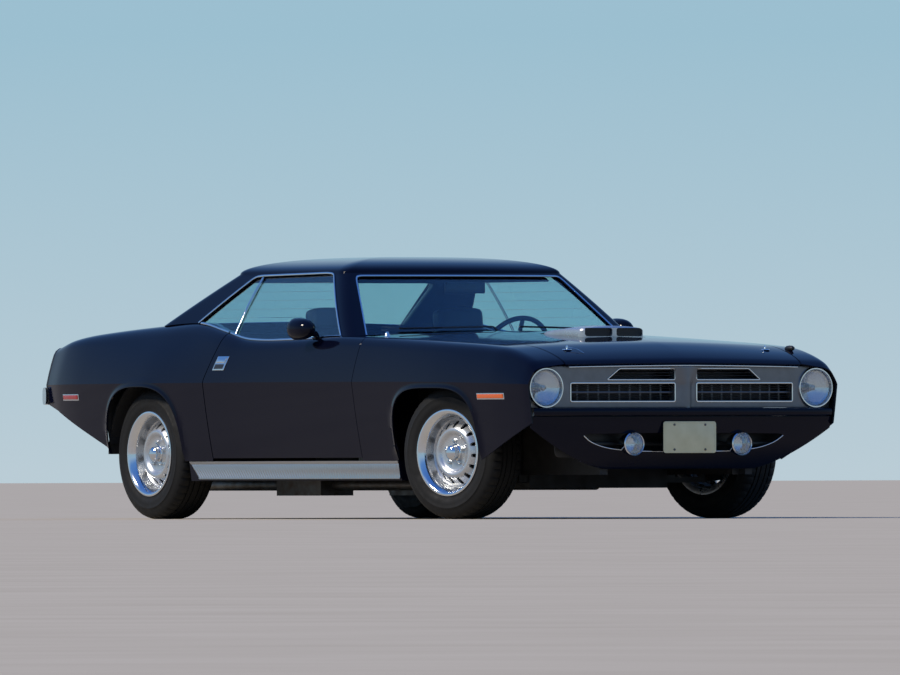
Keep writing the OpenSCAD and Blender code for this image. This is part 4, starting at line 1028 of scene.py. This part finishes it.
# %% Lamps
LAMP_AT = (X_NOSE - 173, -LAMP_Y, LAMP_Z)
LAMP_RING = [(86, 60), (87, 72), (91, 79), (96, 79), (100, 73), (101, 62), (99, 52), (90, 52), (86, 60)]
LAMP_GLASS = [(0, 79), (30, 77.5), (60, 73), (78, 67.5), (86, 62), (86, 58), (78, 63), (60, 68.5),
              (30, 73), (0, 74.5)]
LAMP_BOWL = [(0, 20), (40, 32), (68, 47), (86, 57), (88, 53), (68, 41), (40, 26), (0, 13)]
BULB = [(0, 56), (9, 54), (14, 48), (14, 34), (10, 20), (0, 20)]
FOG_AT = (X_NOSE - 33, -311, 365)
FOG_SHELL = [(0, -106), (28, -101), (46, -78), (55, -42), (58, -14), (58, -4), (54, 0), (51, -3),
             (50, -11), (46, -16), (36, -60), (0, -80)]
FOG_GLASS = [(0, -2), (25, -3.5), (44, -7), (50, -10), (50, -13), (44, -11), (25, -7.5), (0, -6)]

# name, profile, centre, steps, finish, sharp angle, slot, replaced nodes
LAMP_PIECES = [
    ("headlamp_glasses", LAMP_GLASS, LAMP_AT, 48, LENS, 30, "lamp_glass", ("headlamps",)),
    ("headlamp_bowls", LAMP_BOWL, LAMP_AT, 48, CHROME, 40, "chrome", ()),
    ("headlamp_rings", LAMP_RING, LAMP_AT, 72, CHROME, 40, "chrome", ()),
    ("headlamp_bulbs", BULB, LAMP_AT, 24, RIM, 40, "chrome", ()),
    ("fog_lamp_shells", FOG_SHELL, FOG_AT, 48, CHROME, 40, "chrome", ("fog_lamps",)),
    ("fog_lamp_glasses", FOG_GLASS, FOG_AT, 48, LENS, 30, "lamp_glass", ()),
]
for name, profile, centre, steps, mat, angle, slot, gone in LAMP_PIECES:
    bm = pair(lambda: lathe(profile, centre, steps=steps))
    finish_mesh(bm, name, mat, "body", angle, gone)
rail = np.stack([np.full(9, X_NOSE - 145.0), np.linspace(-600, 600, 9), np.full(9, 365.0)], 1)
finish_mesh(sweep(rail, oval(9, 20)), "fog_lamp_rail", SATIN, "body", 40)
print("lamps:", MADE[-7:])

# %% [markdown]
# The bumper is a narrow pressed blade in body colour, so it is one section swept along the nose. Below
# it hangs the valance, a thin pressing with a long opening edged by a bright strip. It could be an
# extruded plate, but its grid leans back towards its lower edge, as the real one does.

# %% Bumper and valance
END_Y = HALF - 82.5
y = np.linspace(-END_Y + 14, END_Y - 14, 70)
path = np.stack([X_NOSE - 31 - NOSE_BOW * y * y - 14 * (np.abs(y) / END_Y) ** 14, y, 520 + 0 * y], 1)
blade = sweep(path, oval(61, 40, 20, 3.6))
finish_mesh(blade, "bumper_blade", PAINT, "body", 50, ("front_bumper",))
# The opening in the valance; its first nine points carry the bright strip
SMILE = [(-575, 405), (-530, 372), (-440, 344), (-300, 330), (0, 326), (300, 330), (440, 344), (530, 372),
         (575, 405), (560, 414), (0, 420), (-560, 414)]


def valance_x(y, z):
    """The valance's face, which leans back below the bumper."""
    return X_NOSE - 26 - NOSE_BOW * y * y - 95 * (np.maximum(0, 499.4 - z) / 256) ** 1.3


def valance_bm():
    nu, nv = 120, 24

    def place(i, j):
        y = (2 * i / nu - 1) * (END_Y - 1.5)
        low = 243 + 200 * (np.maximum(0, np.abs(y) - END_Y + 446) / 446) ** 1.5
        z = low + (499 - low) * j / nv
        return np.stack([valance_x(y, z), y, z], 1)

    return soften(thick(flip_to(grid(nu, nv, place), (1, 0, 0)), 9), 2)


valance = finish_mesh(valance_bm(), "valance_skin", PAINT, "body", 25, ("front_valance",))
cut(valance, prism(rounded(SMILE, 24, True), X_NOSE - 300, X_NOSE + 60, "X"), angle=25)
strip = stepped(rounded(SMILE[:9], 60), 25)
strip = np.stack([valance_x(strip[:, 0], strip[:, 1]) + 1, strip[:, 0], strip[:, 1]], 1)
finish_mesh(sweep(strip, oval(5, 7), (1, 0, 0)), "valance_strip", CHROME, "body", 50)
# A satin black plate behind the valance opening: painted shade for the hollow behind it.
SHADE_PLATE = [(-670, 300), (670, 300), (670, 440), (-670, 440)]
shade_plate = prism(rounded(SHADE_PLATE, 30, True), X_NOSE - 200, X_NOSE - 192, "X")
finish_mesh(soften(shade_plate, 2), "valance_painted_shade", SATIN, "body", 40)
print("front end:", MADE[-4:])

# %% [markdown]
# The plate is a stamped blank with a raised bead, bolted to a bracket. It could be embossed by a
# modifier. An extruded outline with soft edges is enough for the blank, the bead is a thin sweep, and
# four bolt heads sit in the standard holes.

# %% Plate
PLATE = [(-152, 320), (152, 320), (152, 474), (-152, 474)]
PLATE_Z = 397
outline = rounded(PLATE, 16, True)
blank = soften(prism(outline, X_NOSE - 26, X_NOSE - 23.5, "X"), 0.8)
finish_mesh(blank, "plate_blank", CREAM, "body", 40)
bracket = soften(prism(outline, X_NOSE - 33, X_NOSE - 26.4, "X"), 1)
finish_mesh(bracket, "plate_bracket", SATIN, "body", 40)
inset = [(a * 0.95, PLATE_Z + (b - PLATE_Z) * 0.91) for a, b in PLATE]
loop = stepped(rounded([(X_NOSE - 23.5, a, b) for a, b in inset], 14, True), 20, True)
finish_mesh(sweep(loop, oval(4, 2.4, 8), (1, 0, 0), True), "plate_bead", CREAM, "body", 50)
HEAD = [(0, 5), (3, 4.6), (5.5, 3), (6, 0), (0, 0)]
HOLES = [(a, PLATE_Z + b) for a in (-88.9, 88.9) for b in (-60.3, 60.3)]
bolts = [lathe(HEAD, (X_NOSE - 23.6, a, b), steps=20) for a, b in HOLES]
finish_mesh(joined(*bolts), "plate_bolts", STEEL, "body", 40)
print("plate:", MADE[-4:])

# %% [markdown]
# ## Side trim
# Small trim lies on the body side: the ribbed sill strip, side markers and door handles. Flat plates
# would cut into the curved side, so each is laid on the side's own curve and sits tight.

# %% Sill strip and side plates
def strip_bm():
    n, xs, xe = 4 * 84, X_RA + 380, X_FA - 389

    def place(i, j):
        t = np.array([0.0, 0.06, 0.1, 0.45, 0.8, 0.84, 0.9, 1.0])[j]
        x = xs + 76 * (1 - t)
        x = x + (xe - x) * i / n
        rib = 3.0 * np.array([0.0, 0.8, 1.0, 0.8])[i % 4] * (j >= 2) * (j <= 4)
        out = rib + 3.5 * ((j == 0) | (j == 1) | (j >= 6))
        return np.stack([x, -(HALF - 90 + 12 * t + out), 198 + 88 * t], 1)

    return thick(flip_to(grid(n, 7, place), (0, -1, 0)), 5)


def side_plate(x0, x1, z0, z1, lean, out, t, crown=0.0):
    """A plate on the right body side, leaning back by lean over its height and standing out by out."""
    def place(i, j):
        u, v = i / 14, j / 8
        z = z0 + (z1 - z0) * v
        x = x0 + (x1 - x0) * u + lean * v
        swell = crown * (16 * u * (1 - u) * v * (1 - v)) ** 0.5
        return np.stack([x, -(side_y(x, z) + out + swell), z], 1)

    return soften(thick(flip_to(grid(14, 8, place), (0, -1, 0)), t), 1.2, 60)


both(strip_bm, "sill_strip", ALU, BODY, angle=40)
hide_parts("sill_trims")
# name, then x and z spans, lean, stand-out, thickness and crown, then finish, bodies and slot
SIDE_PLATES = [
    ("front_marker_bezel", (1862, 2096, 583, 614, 0, 2.5, 5), CHROME, BODY, "chrome"),
    ("front_marker", (1868, 2090, 588, 609, 0, 5, 5, 2), AMBER, BODY, "red_lens"),
    ("rear_marker_bezel", (-2108, -1926, 594, 626, 0, 2.5, 5), CHROME, BODY, "chrome"),
    ("rear_marker", (-2102, -1932, 599, 621, 0, 5, 5, 2), RED, BODY, "red_lens"),
    ("handle_plate", (-614, -510, 738, 808, 21, 4, 6, 2), CHROME, DOORS, "chrome"),
    # The handle recess is a satin black plate laid over the chrome: painted shade for the finger pocket.
    ("handle_pocket_shade", (-601, -520, 746, 769, 7, 6.4, 4), SATIN, DOORS, "dark_grille"),
    ("handle_paddle", (-594, -512, 775, 800, 7, 8, 6, 3), CHROME, DOORS, "chrome"),
]
for name, shape, mat, bodies, slot in SIDE_PLATES:
    both(lambda: side_plate(*shape), name, mat, bodies)
print("side trim:", MADE[-16:])

# %% [markdown]
# The door mirrors are egg-shaped shells on a curved foot. They could be sculpted, but shell and glass
# are round, so they are turned from a profile. The foot is a swept oval that ends in a flat pad on the
# door.

# %% Mirrors
EGG = [(0, 8), (49, 8), (50, 2), (53, 0), (55, 5), (55, 32), (52, 70), (45, 104), (33, 129), (18, 144),
       (0, 149)]
DISC = [(0, 4), (48.5, 4), (48.5, 7.5), (0, 7.5)]
MIRROR_AT = (X_FA - 1250, -928, 938)


def mirror_head():
    return lathe(EGG, MIRROR_AT)


def mirror_stalk():
    foot = float(top_z(251, 842))
    path = rounded([(251, -843, foot + 2), (251, -852, foot + 24), (258, -896, 922), (262, -915, 930)], 26)
    pad_plan = rounded([(215, -856), (292, -856), (292, -829), (215, -829)], 12, True)
    return joined(sweep(path, oval(30, 17, 14, 2.4), (1, 0, 0)), prism(pad_plan, foot - 1, foot + 6))


both(mirror_head, "mirror_shell", PAINT, DOORS, ("mirror_right", "mirror_left"))
both(lambda: lathe(DISC, MIRROR_AT), "mirror_glass", MIRROR, DOORS)
both(mirror_stalk, "mirror_stalk", PAINT, DOORS, angle=40)
print("mirrors:", MADE[-6:])

# %% [markdown]
# ## Wheels
# The wheel is a pressed steel rim with a slotted disc, a polished trim ring and a plated cap over five
# nuts. Rim and tyre are turned, as on the real car. The slots are cut through the disc. The tread's
# ribs are in its profile, and its shoulder notches are pressed in afterwards.

# %% Wheel parts
RIM_SHAPE = [(209, 104), (205, 105), (198, 102), (190, 95), (184, 88), (179, 82), (176, 68), (173, 46),
             (169, 33), (162, 27), (155, 30), (146, 41), (132, 57), (120, 67), (110, 70), (100, 68),
             (92, 61), (86, 56), (76, 54), (44, 54), (0, 54), (0, 46), (84, 46), (100, 56), (112, 60),
             (124, 53), (140, 35), (152, 21), (163, 17), (168, 19), (168, -60), (178, -72), (180, -97),
             (196, -104), (209, -104), (209, -98), (190, -98), (189, -72), (178, -60), (178, 60),
             (189, 72), (190, 98), (209, 98), (209, 104)]
RING_SHAPE = [(213, 100), (212, 107), (205, 109.5), (198, 107), (191, 100), (185, 92), (181, 87),
              (177, 78), (179, 77), (183, 84), (188, 90), (194, 97), (200, 101.5), (206, 103), (213, 100)]
CAP_SHAPE = [(0, 98), (14, 97), (26, 93), (34, 86), (37, 77), (38, 62), (43, 57), (43, 53), (0, 53)]
NUT_SHAPE = [(0, 71), (5, 70), (9, 66), (10.5, 62), (10.5, 53), (0, 53)]
SIDEWALL = [(192, 75), (192, 96), (206, 99), (212, 102), (218, 104), (224, 104.5), (230, 108), (240, 111),
            (252, 112.5), (266, 112), (269, 113.4), (273, 113), (275, 110.8), (285, 107.6), (295, 104),
            (303, 100), (311, 94), (317, 88)]
TREAD = [(321, 80), (324, 70), (325, 60), (325, 50), (317.5, 49), (317.5, 43), (325, 42), (325, 22),
         (317.5, 21), (317.5, 15), (325, 14)]
INSIDE = [(306, 30), (304, 70), (290, 92), (262, 102), (236, 99), (214, 84), (205, 77)]
HALF_TYRE = SIDEWALL + TREAD
TYRE_SHAPE = (HALF_TYRE + [(r, -h) for r, h in reversed(HALF_TYRE)] + [(r, -h) for r, h in reversed(INSIDE)]
              + INSIDE + [SIDEWALL[0]])
TREAD_STEPS = 240
SLOTS, NUT_CIRCLE = 15, 57.15


def tyre_bm():
    bm = lathe(TYRE_SHAPE, axis="Y", steps=TREAD_STEPS)
    for v in bm.verts:
        r, h = math.hypot(v.co.x, v.co.z), abs(v.co.y) * 1000
        k = round(math.atan2(v.co.x, v.co.z) / math.tau * TREAD_STEPS) % TREAD_STEPS
        if r > 0.31 and 45 < h < 92 and k % 5 == 0:
            v.co.x *= 1 - 0.0055 / r
            v.co.z *= 1 - 0.0055 / r
    return bm


def slot_cutter(k, n=SLOTS):
    """One slot through the wheel disc, with round ends."""
    t = np.linspace(-math.pi / 2, math.pi / 2, 7)
    ends = [(11.5 * math.sin(a), 145 + 11.5 * math.cos(a)) for a in t] + [
        (8.5 * math.sin(a), 130 + 8.5 * math.cos(a)) for a in t + math.pi]
    c, s = math.cos(math.tau * k / n), math.sin(math.tau * k / n)
    return prism([(x * c + z * s, z * c - x * s) for x, z in ends], -80, -12, "Y")


def cap_bm():
    turns = np.arange(5) * math.tau / 5
    places = [(NUT_CIRCLE * math.sin(a), 0, NUT_CIRCLE * math.cos(a)) for a in turns]
    nuts = [lathe(NUT_SHAPE, place, "Y", 6) for place in places]
    return joined(lathe(CAP_SHAPE, axis="Y"), *nuts)


print("tyre profile points:", len(TYRE_SHAPE))

# %% [markdown]
# All four wheels are the same parts. They could be linked copies, but each piece keeps its place in its
# own mesh, so they are made once for each corner and mirrored for the left side. The front pair is
# turned with its knuckles, since the car stands with its wheels steered.

# %% Four wheels
def wheel_place(front, s):
    """Where a wheel stands; s is -1 on the right and 1 on the left."""
    if not front:
        return Matrix.Translation((X_RA / 1000, s * REAR_TRACK / 2000, HUB_Z / 1000))
    pin = Matrix.Translation((X_FA / 1000, s * (FRONT_TRACK / 2 - KING) / 1000, HUB_Z / 1000))
    return pin @ Matrix.Rotation(STEER_REST, 4, "Z") @ Matrix.Translation((0, s * KING / 1000, 0))


rim_object = finish_mesh(lathe(RIM_SHAPE, axis="Y", steps=96), "rim_master", RIM, "wheel_fr", 30)
cut(rim_object, *[slot_cutter(k) for k in range(SLOTS)])
RIM_MESH = rim_object.data.copy()
MADE.remove("rim_master")
bpy.data.objects.remove(rim_object)


def rim_bm():
    bm = bmesh.new()
    bm.from_mesh(RIM_MESH)
    return bm


WHEEL_PIECES = [
    ("rim", rim_bm, RIM, "wheel_silver", 30),
    ("trim_ring", lambda: lathe(RING_SHAPE, axis="Y", steps=96), RING, "chrome", 40),
    ("hub_cap", cap_bm, CHROME, "chrome", 30),
    ("tread", tyre_bm, RUBBER, "tyre_rubber", 35),
]
for tag, is_front, s in (("fr", True, -1), ("fl", True, 1), ("rr", False, -1), ("rl", False, 1)):
    for name, make, mat, slot, angle in WHEEL_PIECES:
        bm = moved(make() if s < 0 else mirrored(make()), wheel_place(is_front, s))
        gone = {"rim": (f"wheel_{tag}",), "tread": (f"tyre_{tag}",)}.get(name, ())
        finish_mesh(bm, f"{name}_{tag}", mat, f"wheel_{tag}", angle, gone)
print("wheels:", MADE[-16:])

# %% [markdown]
# ## Tail
# The rear bumper is a chromed pressing that wraps a little at its ends, so it is one section swept
# across the tail. Each lamp is a fluted lens in a bright bezel, with a clear reversing lamp at its
# inner end. Lenses are moulded flat with soft edges, so they are bevelled prisms.

# %% Tail
def lamp_box(y0, y1, z0, z1, x0, x1, r=12):
    return soften(prism(rounded([(y0, z0), (y1, z0), (y1, z1), (y0, z1)], r, True), x0, x1, "X"), 2.5)


def bezel_bm():
    p = [(X_TAIL + 14, a, b) for a, b in ((-802, 686), (-418, 686), (-418, 804), (-802, 804))]
    return sweep(stepped(rounded(p, 16, True), 24, True), oval(13, 9), (-1, 0, 0), True)


red = pair(lambda: lamp_box(-798, -512, 690, 800, X_TAIL + 13, X_TAIL + 31))
finish_mesh(red, "tail_lenses", RED, "body", 30, ("tail_lamps",))
clear = pair(lambda: lamp_box(-508, -422, 690, 800, X_TAIL + 13, X_TAIL + 31))
finish_mesh(clear, "reversing_lenses", LENS, "body", 30)
finish_mesh(pair(bezel_bm), "tail_bezels", CHROME, "body", 40)
y = np.linspace(-END_Y, END_Y, 70)
x = X_TAIL + 13 + np.interp(np.abs(y), [0, 350, END_Y - 166, END_Y - 18, END_Y], [0, 1, 4, 9, 16])
blade = sweep(np.stack([x, y, 618 + 0 * y], 1), oval(24, 87, 24, 3.2))
finish_mesh(blade, "rear_blade", CHROME, "body", 50, ("rear_bumper",))
lock = lathe([(0, 0), (16, 0), (18, 3), (16, 7), (8, 8), (7, 5), (0, 5)], (0, 0, 0), "Z", 40)
LOCK_AT = Matrix.Translation(((X_TAIL + 24) / 1000, 0, 0.745)) @ Matrix.Rotation(-math.pi / 2, 4, "Y")
finish_mesh(moved(lock, LOCK_AT), "trunk_lock", CHROME, "body", 30)
print("tail:", MADE[-5:])

# %% [markdown]
# ## Small fittings on top
# Hood pins pass through scuff plates and are tied by a wire lanyard. A bullet-shaped turn lamp stands
# on the left fender. The wiper arms rest along the foot of the windshield. Round fittings are turned,
# and wires, arms and blades are swept, each on the surface that it belongs to.

# %% Fittings on top
def pin_bm():
    x, y = 2134, -572
    z = float(top_z(x, y))
    plate = lathe([(0, 3), (20, 3), (23, 1.6), (24, -1), (0, -1)], (x, y, z), "Z", 32)
    pin = lathe([(0, 21), (4, 20), (5.5, 16), (5.5, 2), (0, 2)], (x, y, z), "Z", 16)
    end = float(top_z(x + 74, y + 52)) + 2
    wire = [(x, y, z + 12), (x + 18, y + 14, z + 9), (x + 40, y + 34, z + 2.5), (x + 74, y + 52, end)]
    return joined(plate, pin, sweep(stepped(rounded(wire, 14), 8), oval(2.6, 2.6, 6)))


def turn_lamp_bm():
    x, y = 2098, -742
    z = float(top_z(x, y)) + 9
    return lathe([(0, -40), (8, -37), (13, -24), (14, -4), (13, 16), (9, 28), (0, 33)], (x, y, z), steps=24)


def wiper(y0, y1, z0, z1):
    """A blade on the glass from its pivot end at y0 and z0, with its arm."""
    t = np.linspace(0, 1, 12)
    y, z = y0 + (y1 - y0) * t, z0 + (z1 - z0) * t
    blade = sweep(np.stack([gh_front(y, z) + 9, y, z], 1), oval(7, 10), (1, 0, 0.7))
    arm = rounded([(gh_front(y0, z0) + 24, y0 + 30, z0 - 22), (gh_front(y0, z0) + 22, y0 + 10, z0),
                   (float(gh_front(y[6], z[6])) + 15, y[6], z[6])], 14)
    return joined(blade, sweep(arm, oval(9, 5), (1, 0, 0.7)))


both(pin_bm, "hood_pin", CHROME, HOODS)
finish_mesh(mirrored(turn_lamp_bm()), "turn_lamp", SATIN, "body", 30)
wipers = joined(wiper(-60, -560, 948, 938), wiper(600, 110, 938, 948))
finish_mesh(wipers, "wipers", SATIN, "body", 40)
MAST_AT = (775, -760, float(top_z(775, 760)))
mast = lathe([(0, 24), (6, 22), (9, 12), (15, 4), (17, 0), (17, -4), (0, -4)], MAST_AT, "Z", 24)
finish_mesh(mast, "antenna_base", CHROME, "body", 30)
print("fittings:", MADE[-5:])

# %% [markdown]
# ## Cabin
# Bucket seats are foam pads in vinyl, sewn into channels. A cloth simulation could swell them. A cube
# that is cut fine and rounded keeps the pad's size exact: its faces are left full in the middle, and
# the seams are drawn in.

# %% Seats
def pad_bm(centre, size, tilt, front, seams):
    """A stuffed pad; front is the axis its sewn face looks along."""
    bm = bmesh.new()
    bmesh.ops.create_cube(bm, size=2.0)
    bmesh.ops.subdivide_edges(bm, edges=bm.edges[:], cuts=17, use_grid_fill=True)
    for v in bm.verts:
        full = (abs(v.co.x) ** 5 + abs(v.co.y) ** 5 + abs(v.co.z) ** 5) ** 0.2
        across = v.co.y
        sewn = v.co[front] > 0.98
        v.co /= full
        if sewn:
            v.co[front] += 0.1 - 0.2 * sum(math.exp(-((across - s) / 0.05) ** 2) for s in seams)
    size = Matrix.Diagonal((*(s / 2000 for s in size), 1))
    lean = Matrix.Rotation(math.radians(tilt), 4, "Y")
    return moved(bm, Matrix.Translation(Vector(centre) / 1000) @ lean @ size)


def pad(name, fill, *args, replaces=()):
    obj = finish_mesh(pad_bm(*args), name, VINYL, "body", 60, replaces)
    m = obj.modifiers.new("round", "SUBSURF")
    m.levels = m.render_levels = 1


BUCKET = [-0.67, -0.33, 0.0, 0.33, 0.67]
BENCH = [-0.84, -0.67, -0.5, -0.33, -0.16, 0.0, 0.16, 0.33, 0.5, 0.67, 0.84]
for tag, y in (("right", -370), ("left", 370)):
    gone = ("front_seats",) if y < 0 else ()
    pad(f"seat_{tag}", 0.85, (X_RA + 1200, y, 430), (480, 370, 150), -5, 2, BUCKET, replaces=gone)
    pad(f"backrest_{tag}", 0.85, (X_RA + 975, y, 700), (130, 370, 500), -11, 0, BUCKET)
    pad(f"headrest_{tag}", 0.9, (X_RA + 916, y, 985), (95, 260, 120), -8, 0, [])
    x0, x1 = X_RA + 990, X_RA + 1380
    plan = [(x0, y - 150), (x1, y - 150), (x1, y + 150), (x0, y + 150)]
    base = prism(rounded(plan, 30, True), 224, 375)
    finish_mesh(soften(base, 6), f"seat_base_{tag}", PLASTIC, "body", 40)
pad("rear_bench", 0.85, (X_RA + 640, 0, 490), (340, 1150, 140), -4, 2, BENCH, replaces=("rear_seat",))
pad("rear_backrest", 0.85, (X_RA + 430, 0, 700), (130, 1150, 360), -22, 0, BENCH)
print("seats:", MADE[-10:])

# %% [markdown]
# The dash is a moulded hood, and the steering wheel is a rim on three spokes. The dash is one profile
# carried across the car. Rim, spokes and column could be placed one by one, but they share one axis, so
# they are made upright and then tilted together.

# %% Dash and steering wheel
DASH = [(-921.5, 640), (-921.5, 850), (-960, 868), (-1080, 862), (-1150, 815), (-1130, 700), (-1040, 640)]
dash = prism(rounded([(X_FA + a, b) for a, b in DASH], 22, True), -700, 700, "Y")
finish_mesh(soften(dash, 8, 60), "dash_hood", VINYL, "body", 35, ("dashboard",))
COLUMN_TILT = Matrix.Rotation(math.radians(-66), 4, "Y")
WHEEL_AT = Matrix.Translation(((X_FA - 1134) / 1000, 0.38, 0.745)) @ COLUMN_TILT
COLUMN = [(0, 26), (24, 26), (24, 170), (40, 182), (60, 186), (62, 194), (52, 204), (20, 209), (0, 209)]


def spoke(a):
    ends = [(r * math.cos(a), r * math.sin(a), z) for r, z in ((40, 192), (180, 190))]
    return sweep(stepped(ends, 30), oval(26, 7), (0, 0, 1))


turn = np.linspace(0, math.tau, 64, endpoint=False)
RIM_PATH = [(185 * math.cos(a), 185 * math.sin(a), 190) for a in turn]
column = lathe(COLUMN, axis="Z")
spokes = [spoke(a) for a in (math.pi / 2, -math.pi / 2, 0)]
wheel = moved(joined(sweep(RIM_PATH, oval(25, 25, 12, 2), (0, 0, 1), True), column), WHEEL_AT)
finish_mesh(wheel, "steering_rim", PLASTIC, "body", 40, ("steering_wheel",))
finish_mesh(moved(joined(*spokes), WHEEL_AT), "steering_spokes", ALU, "body", 40)
glass_x = float(gh_front(0, 1150))
house = [(glass_x - 78, -115), (glass_x - 56, -115), (glass_x - 56, 115), (glass_x - 78, 115)]
inside = soften(prism(rounded(house, 9, True), 1112, 1168), 7, 60)
finish_mesh(inside, "inside_mirror", PLASTIC, "body", 40)
print("dash:", MADE[-4:])

# %% [markdown]
# Sheets close what a real body closes: headliner, parcel shelf, the ends of the cowl and the walls
# round the wheels. Flat plates would let daylight in at their rims, so those that meet a curved panel
# follow its formula.

# %% Linings and wheelhouses
def headliner_bm():
    """The cloth under the roof, a smaller crown inside the roof's own."""
    def place(i, j):
        s = 0.93 * (1 - (j / 14) ** 1.6)
        x, y = gh_ring(np.abs(-1 + i / 60), RAIL_Z + 0 * s)
        x, y = ROOF_MID + (x - ROOF_MID) * s, np.where(i < 60, 1, -1) * y * s
        return np.stack([x, y, 1176 + 66 * np.sqrt(1 - (s / 0.93) ** 2.6)], 1)

    bm = grid(120, 14, place)
    bmesh.ops.remove_doubles(bm, verts=bm.verts, dist=1e-5)
    return thick(flip_to(bm, (0, 0, 1)), 6)


def wall_bm():
    """The wall behind a rear wheel, out to the quarter panel."""
    def place(i, j):
        z = 374 + 278 * j / 8
        w = side_y(X_RA - 372 + 0 * z, z) - 9
        return np.stack([X_RA - 372 + 0 * z, -(640 + (w - 640) * i / 8), z], 1)

    return thick(flip_to(grid(8, 8, place), (1, 0, 0)), 4)


def apron_bm():
    """The sheet over a front wheel, from the engine bay out to the fender."""
    def place(i, j):
        x = X_FA - 400 + 40 * i
        z = 704 - 18 * ((x - X_FA) / 400) ** 2
        return np.stack([x, -(600 + (side_y(x, z) - 610) * j / 6), z], 1)

    return thick(flip_to(grid(26, 6, place), (0, 0, 1)), 4)


def wing_bm():
    """The end of the cowl between the hood and the windshield pillar."""
    def place(i, j):
        x, y = X_FA - 950 + 21 * i / 2, 712 + 11 * j
        return np.stack([x, -y, top_z(x, y) - 5], 1)

    return thick(flip_to(grid(20, 6, place), (0, 0, 1)), 4)


finish_mesh(headliner_bm(), "headliner", CARPET, "body", 40)
SHELF = [(X_RA + 40, -600), (X_RA + 320, -620), (X_RA + 320, 620), (X_RA + 40, 600)]
shelf = soften(prism(rounded(SHELF, 20, True), 926, 936), 3)
finish_mesh(shelf, "parcel_shelf", CARPET, "body", 40)
both(wing_bm, "cowl_wing", PAINT, BODY)
both(wall_bm, "wheelhouse_wall", UNDER, BODY)
both(apron_bm, "wheelhouse_top", UNDER, BODY)
print("linings:", MADE[-8:])

# %% [markdown]
# ## Structure carried over
# Glass, floor, running gear and inner panels are shown as the CAD made them. To model them again would
# add nothing that shows, so each only gets the finish of its real material.

# %% Carried-over parts
dress(GLASS, "windshield", "rear_window", "quarter_windows", "door_glass_right", "door_glass_left")
dress(PAINT, "cowl", "deck_filler", "sills")
dress(SATIN, "tail_panel", "radiator")
dress(UNDER, "floor_pan", "front_suspension", "rear_axle", "knuckle_right", "knuckle_left", "fuel_tank")
dress(ENGINE, "engine")
dress(STEEL, "exhaust")
print("carried over:", len(DRESSED))

# %% [markdown]
# ## Floor, light and camera
# A plain pale floor and an even sky from a bright horizon to blue overhead give the paint something to
# mirror. One broad sun gives soft shadows. Lamps close by would do too, but they would show as bright
# patches in the paint.

# %% Floor and light
world = bpy.data.worlds.new("studio")
bpy.context.scene.world = world
world.use_nodes = True
coord = node(world, "TexCoord")
height = node(world, "SeparateXYZ", {0: coord.outputs["Generated"]})
sky = node(world, "ValToRGB", {"Fac": height.outputs["Z"]})
world.node_tree.links.new(sky.outputs[0], world.node_tree.nodes["Background"].inputs["Color"])
first, last = sky.color_ramp.elements
first.position, first.color = 0.0, srgb("#c3d6e0")
last.position, last.color = 1.0, srgb("#3f73cc")
for place, tone in ((0.02, "#a3c8da"), (0.15, "#a8c8e4"), (0.4, "#6597dc")):
    sky.color_ramp.elements.new(place).color = srgb(tone)
world.node_tree.nodes["Background"].inputs["Strength"].default_value = 0.9

bm = bmesh.new()
bmesh.ops.create_grid(bm, x_segments=1, y_segments=1, size=300.0)
mesh = bpy.data.meshes.new("floor")
bm.to_mesh(mesh)
bm.free()
# Pale screed: matt, with faint grey clouds
FLOOR = surfaced(material("pale screed", "#bdb3a2", Specular_IOR_Level=0.0), 6, (0.85, 1.0), 0.2, "#b5ab9a",
                 patch=700)
mesh.materials.append(FLOOR)
floor = bpy.data.objects.new("floor", mesh)
bpy.context.collection.objects.link(floor)
sun = bpy.data.objects.new("sun", bpy.data.lights.new("sun", "SUN"))
sun.data.energy, sun.data.angle, sun.data.color = 3.4, math.radians(12), srgb("#fff3e0")[:3]
sun.rotation_euler = Vector((0.2, 0.8, -0.75)).to_track_quat("-Z", "Y").to_euler()
bpy.context.collection.objects.link(sun)
print("floor and light ready")

# %% [markdown]
# The camera stands low and far off with a long lens, as in the photograph, so that the car's lines stay
# nearly parallel.

# %% Camera
camera = bpy.data.objects.new("camera", bpy.data.cameras.new("camera"))
bpy.context.collection.objects.link(camera)
camera.location = (93.942, -58.236, 0.239)
aim = (Vector((0.1347, 0, 0.8971)) - camera.location).to_track_quat("-Z", "Y").to_matrix()
camera.rotation_euler = (aim @ Matrix.Rotation(math.radians(-0.176), 3, "Z")).to_euler()
camera.data.sensor_width, camera.data.lens = 36.0, 22279 / 900 * 36
camera.data.clip_end = 1000
bpy.context.scene.camera = camera
bpy.context.scene.view_settings.view_transform = "Standard"
print("camera ready")

# %% [markdown]
# The last step prints how many pieces were made.

# %% Piece count
print("pieces:", len(MADE))
